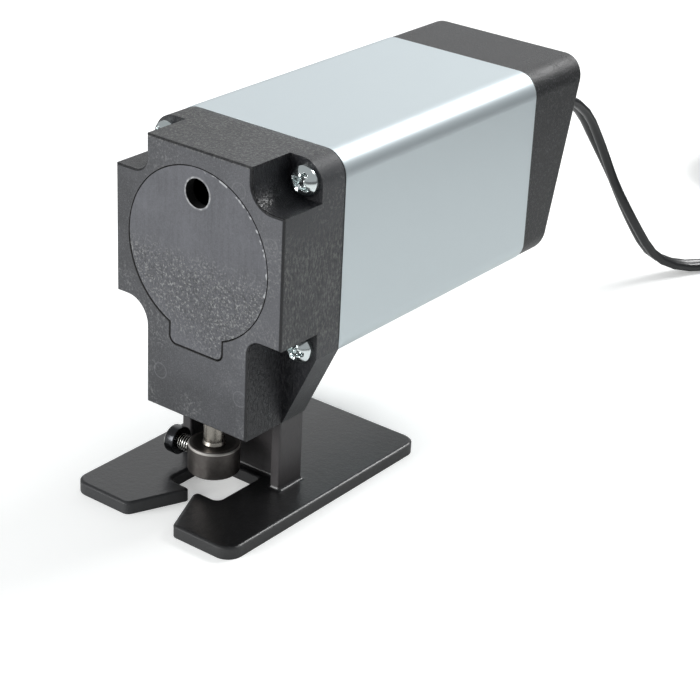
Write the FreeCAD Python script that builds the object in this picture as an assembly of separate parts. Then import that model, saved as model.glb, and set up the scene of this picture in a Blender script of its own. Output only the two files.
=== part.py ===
"""A small hand-held sabre saw, built as the pieces it comes apart into.

Millimetres, +Z up, -Y towards the blade end. The origin is on the ground, in the middle of the
saw's overall length and width. Each piece is written to its own STEP file.
"""
import FreeCAD, Part
import math
import os

V = FreeCAD.Vector
X, Y, Z = V(1, 0, 0), V(0, 1, 0), V(0, 0, 1)

# ---------------------------------------------------------------- driving sizes
# body
body_w = 50.0             # width of the sleeve and of both mouldings
body_h = 51.1             # height of the sleeve
body_z = 37.85            # underside of the sleeve above the sole
corner_r = 6.0            # outside corner of the body's section
sleeve_l = 77.0
sleeve_wall = 1.8
moulding_inset = 0.1      # the mouldings stand this far inside the sleeve's outline
seat_gap = 0.15           # slip fit of a spigot or insert in its seat
fit_gap = 0.05            # close fit of a pressed or screwed piece
edge_cut = 0.45           # moulded outer edges

# front housing
block_d = 13.1            # from the front face back to the pocket floors
flange_d = 8.3            # from the pocket floors back to the sleeve
pocket_w = 9.6            # the corner pockets that take the screw heads
pocket_h = 9.65
pocket_r = 6.2            # inner corner of the upper right and the lower left pocket
pocket_small_r = 3.7      # inner corner of the other two
neck_z = 21.4             # underside of the lower block
taper_h = 3.1             # the flange starts to taper this far above the sleeve's underside
chamber_d = 16.0          # depth of the crank chamber from the front face
motor_seat_d = 20.0       # depth of the motor's front face
spigot_l = 3.0

# front cover
cover_inset = 4.25        # the disc's edge stays this far inside the body's narrower side
cover_t = 2.6
cover_rise = 0.5          # its centre is this far above the crank's axis
cover_gap = 0.15
tab_w = 16.0
tab_rise = 1.65           # the tab's lower edge, above the sleeve's underside
tab_r = 2.0
access_r = 3.5
access_inset = 6.05       # from the disc's edge in to the access hole's centre
ledge = 1.7               # rim that the cover rests on

# foot
sole_inset = 0.25         # the sole is this much narrower than the body on each side
sole_nose = 15.5          # the sole reaches this far in front of the housing
sole_l = 71.9
sole_t = 3.13
sole_r = 4.0
mouth_w = 14.4            # the V mouth at the front edge
slot_w = 15.4             # the opening behind it
slot_front = -0.2         # its edges, behind the housing's front face
slot_back = 14.9
throat_x = 0.55           # where a mouth flank would meet the opening's front edge
leg_t = 2.9
leg_stand = 0.1           # the legs stand this far outside the neck
leg_front = 12.8
leg_back = 20.9
web_front = 16.9
leg_edge_r = 0.5
leg_root_r = 1.0
tongue_front = 15.9
tongue_back = 19.9
tongue_h = 12.0
tongue_inset = 0.2        # the tongue's sides, inside the legs

# plunger and blade clamp
plunger_r = 2.6
plunger_z = 6.4           # its lower end
blade_bore_r = 1.6
blade_bore_l = 11.0
collar_r = 6.3
collar_z = 5.95
collar_h = 7.3
collar_rim = 0.4
flare_out = 0.25          # the plunger's shoulder on top of the collar
flare_h = 0.8
clamp_r = 2.0             # clamp screw, M4 with a low head
clamp_tip = 2.75          # its places, measured from the plunger's axis
clamp_seat = 10.4
clamp_head_r = 3.5
clamp_head_l = 2.8
socket_w = 3.0            # across the flats of its hexagonal recess
socket_l = 1.6
bush_wall = 1.4
bush_clear = 0.4          # between the bushes and the front cover
bush_l = 9.5
upper_bush_flange_w = 1.2
upper_bush_flange_t = 1.5
tab_to_floor = 2.0        # from the cover tab's edge up to the chamber's floor
run_gap = 0.04            # running clearance on a radius

# crank and yoke
stroke = 8.0
rest_below_mid = 2.5      # the plunger rests this far below the middle of its stroke
crank_r = 10.5
counterweight_r = 13.0
crank_front = 12.0        # behind the front face
crank_t = 3.5
grub_r = 1.2
grub_l = 6.0
pin_r = 1.5
roller_r = 3.0
open_gap = 0.3            # the linkage is open here: roller and pin stop short of the yoke
yoke_t = 4.8
yoke_side = 1.9
yoke_top = 2.8
yoke_foot = 5.3
yoke_slot_gap = 0.15
yoke_end_gap = 0.6
yoke_corner_r = 1.5
yoke_slot_r = 2.0
blind_t = 0.6             # metal left behind the pin's blind hole
stem_r = 1.7
cross_pin_r = 0.75
stem_short = 1.0

# motor
can_r = 18.0
can_wall = 1.6
can_l = 50.0
nose_r = 5.0
nose_l = 1.8
shaft_r = 1.5875
bearing_r = 3.6
magnet_t = 3.4
magnet_l = 30.0
magnet_apart = 18.0       # between the two magnets' edges
air_gap = 0.4
core_l = 26.0
core_back = 7.5           # the core starts this far behind the can's front
winding_l = 4.5           # end turns beyond the core
poles = 5
slot_spread = 22.0        # half angle of a winding slot, in degrees
slot_inner_r = 5.0
core_rim = 2.0
slot_mouth_w = 1.6
winding_in = 1.2          # the end turns stay this far inside the core's edge
insulation = 0.1
sleeve_round_shaft = 1.6
commutator_r = 4.5
commutator_l = 9.0
commutator_in = 2.0       # its rear end, inside the can's open end
slit_w = 0.5
slit_d = 1.0
brush_l = 4.0
brush_in = 8.0
brush_h = 3.0
terminal_x = 9.0
terminal_t = 0.5
terminal_w = 4.7
terminal_l = 8.0
end_cap_t = 2.0
end_cap_plug_l = 3.0
hub_wall = 1.8
hub_in = 1.0
shaft_over = 1.0          # shaft beyond the rear bearing
end_cap_hub = 4.0
washer_r = 3.0
washer_t = 0.8
end_play = 0.1
suppressor_r = 3.6
suppressor_t = 2.6
suppressor_rise = 11.0
motor_screw_r = 1.5
motor_screw_x = 12.5
motor_screw_over = 1.0    # its end inside the can's front
cradle_l = 6.0
cradle_in = 2.0           # its rear side, in front of the can's open end
cradle_clear = 2.5        # clearance of its cut corners around the tie screws

# tie screws, foot screws
tie_r = 1.75
tie_in = 4.6              # their axes, in from the body's sides
tie_down = 5.15           # and from its top and bottom
tie_head_r = 3.6
tie_head_h = 3.1
tie_floor = 2.8           # plastic left behind the screw's end in the rear cap
boss_wall = 1.6
foot_screw_r = 1.5
foot_screw_in = 5.4       # their axes, in from the tongue's sides
foot_screw_up = 6.6       # above the lower block's underside
foot_head_r = 2.8
foot_head_h = 1.8

# rear cap, switch and strain relief
cap_top_l = 23.1
cap_slope = 15.0          # the rear face leans in towards the bottom, in degrees
cap_wall = 3.5
cap_back_wall = 2.5
cap_edge = 1.0
relief_down = 13.95       # below the body's top
relief_l = 20.0
relief_r = 4.6
relief_tip_r = 3.2
relief_neck_r = 4.0
relief_neck_l = 4.0
relief_core = 2.9         # half width left between the tail's notches
notch_w = 1.6
notch_first = 2.5
notch_pitch = 4.0
relief_flange_r = 6.2
relief_flange_t = 1.5
switch_down = 34.95
switch_w = 10.5
switch_h = 15.0
bezel_w = 1.0
bezel_t = 1.4
rocker_tilt = 10.0        # to each side of its middle, in degrees
pivot_depth = 1.6
trunnion_r = 1.0
well_wall = 0.6
well_d = 5.0
switch_d = 10.0
rocker_side_gap = 0.3
rocker_end_gap = 0.65     # for the swing of its ends
rocker_high = 2.3
rocker_low = 1.2

# flex and plug
cord_r = 1.9              # round stand-in of the same section as the flat twin flex
coil_x = 6.0
coil_back = 188.5         # behind the body's rear top edge
coil_r = 27.0             # to the middle of the turns
outer_turn = 2.8          # the outermost turn lies this far outside it
coil_w = 9.0
coil_h = 16.8
coil_bevel = 2.5
plug_w = 17.0
plug_t = 12.0
plug_l = 22.0
plug_throat = 3.5         # half width at the flex
plug_shoulder = 9.0       # from there to the full width
plug_edge = 1.2
blade_l = 16.0
blade_w = 6.35
blade_t = 1.5
blades_apart = 12.7

# ---------------------------------------------------------------- places worked out from them
overall = sole_nose + block_d + flange_d + sleeve_l + cap_top_l
front_y = sole_nose - overall / 2
pocket_y = front_y + block_d
joint_y = pocket_y + flange_d
sleeve_end_y = joint_y + sleeve_l
rear_y = sleeve_end_y + cap_top_l
top_z = body_z + body_h
axis_z = body_z + body_h / 2
neck_w = body_w - 2 * pocket_w
leg_w = neck_w + 2 * leg_stand
sole_w = body_w - 2 * sole_inset
tongue_w = leg_w - 2 * (leg_t + tongue_inset)
spigot_r = min(body_w, body_h) / 2 - sleeve_wall - seat_gap
cover_r = min(body_w, body_h) / 2 - cover_inset
cover_z = axis_z + cover_rise
access_z = cover_z + cover_r - access_inset
tab_z = body_z + tab_rise
chamber_floor_z = tab_z + tab_to_floor
chamber_r = cover_r - ledge
chamber_y = front_y + chamber_d
chamber_half_w = tab_w / 2 - ledge
tongue_front_y = front_y + tongue_front
tongue_back_y = front_y + tongue_back
leg_front_y = front_y + leg_front
leg_back_y = front_y + leg_back
motor_y = front_y + motor_seat_d
bush_r = plunger_r + bush_wall
plunger_y = front_y + cover_t + bush_clear + bush_r
lower_bush_z = neck_z + 0.4
upper_bush_z = chamber_floor_z + upper_bush_flange_t - bush_l
yoke_z = axis_z - rest_below_mid
crank_throw = stroke / 2
pin_x = math.sqrt(crank_throw ** 2 - rest_below_mid ** 2)
crank_y = front_y + crank_front
roller_y = plunger_y + yoke_t / 2 + open_gap
yoke_slot_h = roller_r + yoke_slot_gap
yoke_foot_z = yoke_z - yoke_slot_h - yoke_foot
stem_end_z = yoke_foot_z + yoke_foot - stem_short
pin_end_y = crank_y + crank_t - blind_t
can_end_y = motor_y + can_l
brush_y = can_end_y - brush_in
magnet_r = can_r - can_wall - fit_gap
core_r = magnet_r - magnet_t - air_gap
core_y = motor_y + core_back
clamp_z = collar_z + collar_h / 2
tie_x = body_w / 2 - tie_in
tie_rise = body_h / 2 - tie_down
slope = math.tan(math.radians(cap_slope))
tie_grip = cap_top_l - (top_z - axis_z + tie_rise) * slope - tie_floor
foot_screw_x = tongue_w / 2 - foot_screw_in
foot_screw_z = neck_z + foot_screw_up
coil_y = rear_y + coil_back
relief_z = top_z - relief_down
switch_z = top_z - switch_down
rear_normal = V(0, math.cos(math.radians(cap_slope)), -math.sin(math.radians(cap_slope)))


# ---------------------------------------------------------------- helpers
def box(x0, x1, y0, y1, z0, z1):
    return Part.makeBox(x1 - x0, y1 - y0, z1 - z0, V(x0, y0, z0))


def rod(radius, start, end):
    """Cylinder from one point to the other."""
    return Part.makeCylinder(radius, (end - start).Length, start, end - start)


def rod_y(radius, x, z, y0, y1):
    return rod(radius, V(x, y0, z), V(x, y1, z))


def ring_y(outer, inner, x, z, y0, y1):
    return rod_y(outer, x, z, y0, y1).cut(rod_y(inner, x, z, y0 - 1, y1 + 1))


def fuse(*shapes):
    return shapes[0].multiFuse(list(shapes[1:])).removeSplitter()


def mirrored(shape):
    """The shape and its mirror image across the middle plane, as one."""
    return fuse(shape, shape.mirror(V(0, 0, 0), X))


def rounded_wire(corners, place):
    """Closed wire through corners (u, v, radius), each rounded by an arc tangent to both sides."""
    points = [V(u, v, 0) for u, v, _ in corners]
    ends = []
    for i, (_, _, radius) in enumerate(corners):
        here = points[i]
        back = (points[i - 1] - here).normalize()
        ahead = (points[(i + 1) % len(points)] - here).normalize()
        half = math.acos(max(-1.0, min(1.0, back.dot(ahead)))) / 2
        reach = radius / math.tan(half)
        middle = here + (back + ahead).normalize() * (radius / math.sin(half) - radius)
        ends.append((here + back * reach, middle, here + ahead * reach))
    edges = []
    for i, (start, middle, stop) in enumerate(ends):
        if corners[i][2] > 0:
            edges.append(Part.Arc(place(start), place(middle), place(stop)).toShape())
        following = ends[(i + 1) % len(ends)][0]
        if (following - stop).Length > 1e-6:
            edges.append(Part.LineSegment(place(stop), place(following)).toShape())
    return Part.Wire(edges)


def slab_y(corners, y0, y1):
    """Prism along Y on corners (x, z, radius)."""
    wire = rounded_wire(corners, lambda p: V(p.x, y0, p.y))
    return Part.Face(wire).extrude(V(0, y1 - y0, 0))


def slab_z(corners, z0, z1):
    """Prism along Z on corners (x, y, radius)."""
    wire = rounded_wire(corners, lambda p: V(p.x, p.y, z0))
    return Part.Face(wire).extrude(V(0, 0, z1 - z0))


def with_left_half(right):
    """Corners of a whole outline from those of its right half, listed from the middle outwards."""
    return right + [(-x, v, r) for x, v, r in reversed(right)]


def body_section(inset, radius, y0, y1):
    """Prism along Y on the body's rounded rectangle, inset all round."""
    half_w = body_w / 2 - inset
    half_h = body_h / 2 - inset
    corners = [(half_w, axis_z + half_h, radius), (half_w, axis_z - half_h, radius)]
    return slab_y(with_left_half(corners), y0, y1)


def rounded(shape, radius, chosen):
    """Fillet the edges for which chosen(edge) is true."""
    return shape.makeFillet(radius, [edge for edge in shape.Edges if chosen(edge)])


def lies_at_y(edge, y):
    return edge.BoundBox.YMin > y - 1e-3 and edge.BoundBox.YMax < y + 1e-3


def lies_at_z(edge, z):
    return edge.BoundBox.ZMin > z - 1e-3 and edge.BoundBox.ZMax < z + 1e-3


def tie_places():
    return [(sx * tie_x, axis_z + sz * tie_rise) for sx in (-1, 1) for sz in (-1, 1)]


def on_rear_face(shape, z):
    """Move a shape made with its seat at y = 0 to the leaning rear face, at that height."""
    shape = shape.copy()
    shape.rotate(V(0, 0, 0), X, -cap_slope)
    shape.translate(V(0, rear_face_y(z), z))
    return shape


def rear_face_y(z):
    return rear_y - (top_z - z) * slope


# ---------------------------------------------------------------- front housing
def block_outline():
    """The front block with its four pockets; pockets across a diagonal share an inner corner."""
    half = body_w / 2 - moulding_inset
    neck = neck_w / 2
    top = top_z - moulding_inset
    upper = top_z - pocket_h
    lower = body_z + pocket_h
    return [
        (neck, top, 0), (neck, upper, pocket_r), (half, upper, 0),
        (half, lower, 0), (neck, lower, pocket_small_r), (neck, neck_z, 0),
        (-neck, neck_z, 0), (-neck, lower, pocket_r), (-half, lower, 0),
        (-half, upper, 0), (-neck, upper, pocket_small_r), (-neck, top, 0),
    ]


def flange_outline():
    half = body_w / 2 - moulding_inset
    return with_left_half([
        (half, top_z - moulding_inset, corner_r),
        (half, body_z + taper_h, 0),
        (leg_w / 2, neck_z, 0),
    ])


def cover_prism(grow, y0, y1):
    """The cover's disc with its square tab, grown all round."""
    radius = cover_r + grow
    half = tab_w / 2 + grow
    inside_z = cover_z - radius / 2
    tab = slab_y(with_left_half([(half, inside_z, 0), (half, tab_z - grow, tab_r)]), y0, y1)
    return fuse(rod_y(radius, 0, cover_z, y0, y1), tab)


def crank_chamber():
    round_part = rod_y(chamber_r, 0, cover_z, front_y, chamber_y)
    lower = box(-chamber_half_w, chamber_half_w, front_y, pocket_y + 1, chamber_floor_z, cover_z)
    return fuse(round_part, lower)


def countersunk_hole(x, z):
    """Hole of a motor screw through the wall behind the chamber, with its countersink."""
    hole = rod_y(motor_screw_r + seat_gap, x, z, chamber_y - 1, motor_y + 1)
    sink = Part.makeCone(2 * motor_screw_r, motor_screw_r, motor_screw_r, V(x, chamber_y, z), Y)
    return hole.fuse(sink)


def front_housing():
    block = slab_y(block_outline(), front_y, pocket_y)
    block = block.makeChamfer(edge_cut, [edge for edge in block.Edges if lies_at_y(edge, front_y)])
    flange = slab_y(flange_outline(), pocket_y, joint_y)
    spigot = rod_y(spigot_r, 0, axis_z, joint_y - 1, joint_y + spigot_l)
    cuts = [
        cover_prism(cover_gap, front_y - 1, front_y + cover_t),
        crank_chamber(),
        rod_y(can_r + seat_gap, 0, axis_z, motor_y, joint_y + spigot_l + 1),
        rod_y(nose_r + seat_gap, 0, axis_z, chamber_y - 1, motor_y + 1),
        rod(bush_r, V(0, plunger_y, neck_z - 1), V(0, plunger_y, chamber_floor_z + 1)),
        tongue(seat_gap, neck_z - 1),
    ]
    cuts += [countersunk_hole(side * motor_screw_x, axis_z) for side in (-1, 1)]
    cuts += [rod_y(tie_r + seat_gap, x, z, pocket_y - 1, joint_y + 1) for x, z in tie_places()]
    cuts += [rod_y(foot_screw_r + seat_gap, side * foot_screw_x, foot_screw_z, tongue_back_y, joint_y + 1)
             for side in (-1, 1)]
    return fuse(block, flange, spigot).cut(cuts)


def front_cover():
    cover = cover_prism(0, front_y, front_y + cover_t)
    return cover.cut(rod_y(access_r, 0, access_z, front_y - 1, front_y + cover_t + 1))


# ---------------------------------------------------------------- foot
def sole_outline():
    """The sole from above: the blade opening, the V mouth, then the outer corners."""
    nose = front_y - sole_nose
    return with_left_half([
        (slot_w / 2, front_y + slot_back, 0.9),
        (slot_w / 2, front_y + slot_front, 1.8),
        (throat_x, front_y + slot_front, 1.15),
        (mouth_w / 2, nose, 1.8),
        (sole_w / 2, nose, sole_r),
        (sole_w / 2, nose + sole_l, sole_r),
    ])


def tongue(grow, z0):
    """The plate on top of the column that goes up into the front housing."""
    half = tongue_w / 2 + grow
    return box(-half, half, tongue_front_y - grow, tongue_back_y + grow, z0, neck_z + tongue_h + grow)


def column():
    """The two legs and the web between them, from inside the sole up to the housing."""
    half = leg_w / 2
    leg = box(half - leg_t, half, leg_front_y, leg_back_y, sole_t / 2, neck_z)
    upright_front = [edge for edge in leg.Edges
                     if lies_at_y(edge, leg_front_y) and edge.BoundBox.ZLength > leg_back - leg_front]
    leg = leg.makeFillet(leg_edge_r, upright_front)
    web = box(-half + 1, half - 1, front_y + web_front, leg_back_y, sole_t / 2, neck_z)
    return fuse(leg, leg.mirror(V(0, 0, 0), X), web)


def foot():
    sole = slab_z(sole_outline(), 0, sole_t)
    sole = sole.makeChamfer(edge_cut, [edge for edge in sole.Edges if lies_at_z(edge, sole_t)])
    shape = fuse(sole, column())
    root = [edge for edge in shape.Edges
            if lies_at_z(edge, sole_t) and edge.BoundBox.YMin > leg_front_y - 0.1
            and edge.BoundBox.YMax < leg_back_y + 0.1 and abs(edge.CenterOfMass.x) < leg_w / 2 + 0.1]
    shape = fuse(shape.makeFillet(leg_root_r, root), tongue(0, neck_z - 1))
    holes = [rod_y(foot_screw_r, side * foot_screw_x, foot_screw_z, leg_front_y, joint_y) for side in (-1, 1)]
    return shape.cut(holes)


def pan_head(radius, height, x, z, y, direction):
    """Head with a flat seat at y, standing along the direction (-1 forwards, 1 back)."""
    side = 0.3 * height
    shoulder = V(x, y + direction * side, z)
    crown = Part.makeCone(radius, 0.66 * radius, height - side, shoulder, Y * direction)
    return fuse(rod(radius, V(x, y, z), shoulder), crown)


def cross_recess(radius, depth, x, z, y, direction):
    """The two slots of a cross recess, from the head's crown at y."""
    arm = 0.15 * radius
    outer, inner = sorted((y + direction * 0.5, y - direction * depth))
    reach = 0.58 * radius
    return fuse(box(x - reach, x + reach, outer, inner, z - arm, z + arm),
                box(x - arm, x + arm, outer, inner, z - reach, z + reach))


def housing_screws():
    """Four long screws that clamp front housing, sleeve and rear cap together."""
    end_y = sleeve_end_y + tie_grip
    solids = []
    for x, z in tie_places():
        head = pan_head(tie_head_r, tie_head_h, x, z, pocket_y, -1)
        head = head.cut(cross_recess(tie_head_r, 0.6 * tie_head_h, x, z, pocket_y - tie_head_h, -1))
        solids.append(fuse(head, rod_y(tie_r, x, z, pocket_y - 0.5, end_y)))
    return Part.makeCompound(solids)


def foot_screws():
    solids = []
    for side in (-1, 1):
        x, z = side * foot_screw_x, foot_screw_z
        head = pan_head(foot_head_r, foot_head_h, x, z, joint_y, 1)
        head = head.cut(cross_recess(foot_head_r, 0.6 * foot_head_h, x, z, joint_y + foot_head_h, 1))
        solids.append(fuse(head, rod_y(foot_screw_r, x, z, tongue_front_y + 0.3, joint_y + 0.3)))
    return Part.makeCompound(solids)


# ---------------------------------------------------------------- sleeve and rear cap
def sleeve():
    outer = body_section(0, corner_r, joint_y, sleeve_end_y)
    inner = body_section(sleeve_wall, corner_r - sleeve_wall, joint_y - 1, sleeve_end_y + 1)
    return outer.cut(inner)


def behind_rear_face(offset):
    """Everything behind the leaning rear face, moved in by the offset."""
    big = 2 * overall
    slab = box(-big, big, -offset, big, -big, big)
    return on_rear_face(slab, axis_z)


def rear_cap():
    long_y = rear_y + 5
    shape = body_section(moulding_inset, corner_r, sleeve_end_y, long_y).cut(behind_rear_face(0))
    slanted = [e for e in shape.Edges
               if all(abs(v.Y - rear_face_y(v.Z)) < 0.01 for v in e.Vertexes)]
    shape = shape.makeFillet(cap_edge, slanted)
    spigot_in = sleeve_wall + seat_gap
    spigot_y = sleeve_end_y - spigot_l
    spigot = body_section(spigot_in, corner_r - spigot_in, spigot_y, sleeve_end_y + 1)
    cavity = body_section(cap_wall, corner_r - cap_wall, spigot_y - 1, long_y)
    cavity = cavity.cut(behind_rear_face(cap_back_wall))
    bosses = [rod_y(tie_r + boss_wall, x, z, spigot_y, long_y) for x, z in tie_places()]
    cuts = [cavity.cut(bosses)]
    cuts += [rod_y(tie_r, x, z, spigot_y - 1, sleeve_end_y + tie_grip) for x, z in tie_places()]
    cuts.append(on_rear_face(rod(relief_neck_r, V(0, -2 * relief_neck_l, 0), V(0, 1, 0)), relief_z))
    cuts.append(on_rear_face(switch_block(fit_gap, -switch_d, 1), switch_z))
    return fuse(shape, spigot).cut(cuts)


def motor_cradle():
    """Ring that centres the back of the motor in the sleeve; its corners clear the tie screws."""
    inset = sleeve_wall + seat_gap
    y1 = can_end_y - cradle_in
    y0 = y1 - cradle_l
    ring = body_section(inset, corner_r - inset, y0, y1)
    cuts = [rod_y(tie_r + cradle_clear, x, z, y0 - 1, y1 + 1) for x, z in tie_places()]
    cuts.append(rod_y(can_r + fit_gap, 0, axis_z, y0 - 1, y1 + 1))
    return ring.cut(cuts)


# ---------------------------------------------------------------- motor
def motor_can():
    outer = fuse(rod_y(can_r, 0, axis_z, motor_y, can_end_y),
                 rod_y(nose_r, 0, axis_z, motor_y - nose_l, motor_y + 1))
    floor_y = motor_y + can_wall
    cuts = [rod_y(can_r - can_wall, 0, axis_z, floor_y, can_end_y + 1),
            rod_y(bearing_r, 0, axis_z, motor_y - nose_l - 1, floor_y + 1)]
    cuts += [rod_y(motor_screw_r, side * motor_screw_x, axis_z, motor_y - 1, floor_y + 1) for side in (-1, 1)]
    return outer.cut(cuts)


def motor_magnets():
    """Two arc magnets against the inside of the can, above and below."""
    y0 = core_y + core_l / 2 - magnet_l / 2
    ring = ring_y(magnet_r, magnet_r - magnet_t, 0, axis_z, y0, y0 + magnet_l)
    gap = box(-can_r, can_r, y0 - 1, y0 + magnet_l + 1, axis_z - magnet_apart / 2, axis_z + magnet_apart / 2)
    return Part.makeCompound(ring.cut(gap).Solids)


def motor_front_bearing():
    return ring_y(bearing_r, shaft_r + run_gap, 0, axis_z, motor_y - nose_l, motor_y + can_wall)


def motor_rear_bearing():
    return ring_y(bearing_r, shaft_r + run_gap, 0, axis_z, can_end_y - hub_in, can_end_y + end_cap_hub)


def terminal_strip(side, grow, y0, y1):
    """Flat strip of a brush arm and its terminal, standing on edge."""
    x = side * terminal_x
    half_t, half_w = terminal_t / 2 + grow, terminal_w / 2 + grow
    return box(x - half_t, x + half_t, y0, y1, axis_z - half_w, axis_z + half_w)


def motor_end_cap():
    plug_outer = can_r - can_wall - fit_gap
    plate = rod_y(can_r, 0, axis_z, can_end_y, can_end_y + end_cap_t)
    plug = ring_y(plug_outer, plug_outer - end_cap_t, 0, axis_z, can_end_y - end_cap_plug_l, can_end_y + 1)
    hub = rod_y(bearing_r + hub_wall, 0, axis_z, can_end_y - hub_in, can_end_y + end_cap_hub)
    cuts = [terminal_strip(side, fit_gap, can_end_y - 5, can_end_y + 5) for side in (-1, 1)]
    cuts.append(rod_y(bearing_r, 0, axis_z, can_end_y - 5, can_end_y + end_cap_hub + 1))
    return fuse(plate, plug, hub).cut(cuts)


def motor_terminals():
    """A flat tab each side, through the end cap, with the brush arm it carries inside."""
    return Part.makeCompound([
        terminal_strip(side, 0, brush_y - 0.5, can_end_y + terminal_l) for side in (-1, 1)])


def carbon_brushes():
    """A carbon block each side, between its arm and the commutator."""
    near, far = commutator_r + fit_gap, terminal_x - terminal_t / 2
    return Part.makeCompound([
        box(*sorted((side * near, side * far)), brush_y, brush_y + brush_l,
            axis_z - brush_h / 2, axis_z + brush_h / 2)
        for side in (-1, 1)])


def suppressor():
    """Disc capacitor lying across the back of the end cap."""
    y0 = can_end_y + end_cap_t
    return rod_y(suppressor_r, 0, axis_z + suppressor_rise, y0, y0 + suppressor_t)


def motor_screws():
    solids = []
    sunk = 0.1
    motor_end = motor_y + can_wall + motor_screw_over
    for side in (-1, 1):
        x = side * motor_screw_x
        foot_of_head = V(x, chamber_y + sunk / 2, axis_z)
        head = Part.makeCone(2 * motor_screw_r - sunk, motor_screw_r - sunk, motor_screw_r, foot_of_head, Y)
        shank = rod_y(motor_screw_r, x, axis_z, chamber_y + 2 * sunk, motor_end)
        slot = cross_recess(2 * motor_screw_r, 1.0, x, axis_z, chamber_y, -1)
        solids.append(fuse(head, shank).cut(slot))
    return Part.makeCompound(solids)


# ---------------------------------------------------------------- rotor
def motor_shaft():
    return rod_y(shaft_r, 0, axis_z, crank_y + 0.2, can_end_y + end_cap_hub + shaft_over)


def turned_to_slot(shape, index):
    """Turn a shape made at the top of the rotor, around the origin, to a slot's place."""
    shape.rotate(V(0, 0, 0), Y, index * 360.0 / poles)
    shape.translate(V(0, 0, axis_z))
    return shape


def winding_slot(index, shrink, y0, y1):
    """One wedge-shaped winding slot of the core."""
    spread = math.radians(slot_spread)
    inner, outer = slot_inner_r + shrink, core_r - core_rim - shrink
    corners = []
    for radius, side in ((inner, 1), (outer, 1), (outer, -1), (inner, -1)):
        half = radius * math.tan(spread) - shrink
        corners.append((side * half, radius, 0))
    return turned_to_slot(slab_y(corners, y0, y1), index)


def rotor_core():
    y0, y1 = core_y - 1, core_y + core_l + 1
    cuts = [rod_y(shaft_r, 0, axis_z, y0, y1)]
    for index in range(poles):
        cuts.append(winding_slot(index, 0, y0, y1))
        mouth = box(-slot_mouth_w / 2, slot_mouth_w / 2, y0, y1, core_r - core_rim - 1, core_r + 1)
        cuts.append(turned_to_slot(mouth, index))
    return rod_y(core_r, 0, axis_z, core_y, core_y + core_l).cut(cuts)


def rotor_windings():
    """Copper in every slot, joined by the end turns on both sides of the core."""
    y1 = core_y + core_l
    outer, inner = core_r - winding_in, shaft_r + sleeve_round_shaft
    parts = [ring_y(outer, inner, 0, axis_z, y, y + winding_l) for y in (core_y - winding_l, y1)]
    parts += [winding_slot(index, insulation, core_y - 0.5, y1 + 0.5) for index in range(poles)]
    return fuse(*parts)


def commutator():
    y1 = can_end_y - commutator_in
    y0 = y1 - commutator_l
    slits = []
    for index in range(poles):
        slit = box(-slit_w / 2, slit_w / 2, y0 - 1, y1 + 1, commutator_r - slit_d, commutator_r + 1)
        slits.append(turned_to_slot(slit, index + 0.5))
    return ring_y(commutator_r, shaft_r, 0, axis_z, y0, y1).cut(slits)


def thrust_washers():
    """Fibre washers that keep the rotor's end play, one at each bearing."""
    front = motor_y + can_wall + end_play
    rear = can_end_y - hub_in - end_play - washer_t
    return Part.makeCompound([ring_y(washer_r, shaft_r, 0, axis_z, y, y + washer_t) for y in (front, rear)])


# ---------------------------------------------------------------- crank
def crank_disc():
    """Disc on the shaft with a counterweight lobe opposite the pin."""
    y1 = crank_y + crank_t
    lobe = rod_y(counterweight_r, 0, axis_z, crank_y, y1)
    keep = box(0, 2 * counterweight_r, crank_y - 1, y1 + 1, -2 * counterweight_r, 2 * counterweight_r)
    keep.rotate(V(0, 0, 0), Y, -math.degrees(math.atan2(rest_below_mid, -pin_x)))
    keep.translate(V(0, 0, axis_z))
    cuts = [rod_y(shaft_r, 0, axis_z, crank_y + 0.2, y1 + 1),
            rod_y(pin_r, pin_x, yoke_z, crank_y - 1, pin_end_y),
            grub_rod(grub_r, 0, 2 * counterweight_r)]
    return fuse(rod_y(crank_r, 0, axis_z, crank_y, y1), lobe.common(keep)).cut(cuts)


def grub_rod(radius, near, far):
    """Rod on the grub screw's axis, which runs from the shaft out through the lobe."""
    way = V(-pin_x, 0, rest_below_mid).normalize()
    centre = V(0, crank_y + crank_t / 2, axis_z)
    return rod(radius, centre + way * (shaft_r + near), centre + way * (shaft_r + far))


def crank_screw():
    recess = grub_rod(0.55 * grub_r, 0.8 * grub_l, grub_l + 1)
    return grub_rod(grub_r, 0, grub_l).cut(recess)


def crank_pin():
    """It stops short behind the yoke, where the closed linkage is opened."""
    return rod_y(pin_r, pin_x, yoke_z, roller_y, pin_end_y)


def crank_roller():
    return ring_y(roller_r, pin_r, pin_x, yoke_z, roller_y, crank_y - open_gap)


# ---------------------------------------------------------------- plunger
def yoke():
    y0, y1 = plunger_y - yoke_t / 2, plunger_y + yoke_t / 2
    slot_half_w = crank_throw + roller_r + yoke_end_gap
    half_w = slot_half_w + yoke_side
    top = yoke_z + yoke_slot_h + yoke_top
    right = [(half_w, top, yoke_corner_r), (half_w, yoke_foot_z, yoke_corner_r)]
    slot = with_left_half([(slot_half_w, yoke_z + yoke_slot_h, yoke_slot_r),
                           (slot_half_w, yoke_z - yoke_slot_h, yoke_slot_r)])
    stem_hole = rod(stem_r, V(0, plunger_y, yoke_foot_z - 1), V(0, plunger_y, stem_end_z))
    body = slab_y(with_left_half(right), y0, y1)
    return body.cut([slab_y(slot, y0 - 1, y1 + 1), stem_hole, cross_pin(1)])


def cross_pin(extra):
    """Pin from front to back through the yoke's foot and the plunger's stem."""
    reach = yoke_t / 2 + extra
    return rod_y(cross_pin_r, 0, yoke_foot_z + yoke_foot / 2, plunger_y - reach, plunger_y + reach)


def yoke_pin():
    return cross_pin(0)


def clamp_rod(radius, near, far):
    """Cylinder on the clamp screw's axis, which points left from the plunger's axis."""
    centre = V(0, plunger_y, clamp_z)
    return rod(radius, centre - X * near, centre - X * far)


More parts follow.
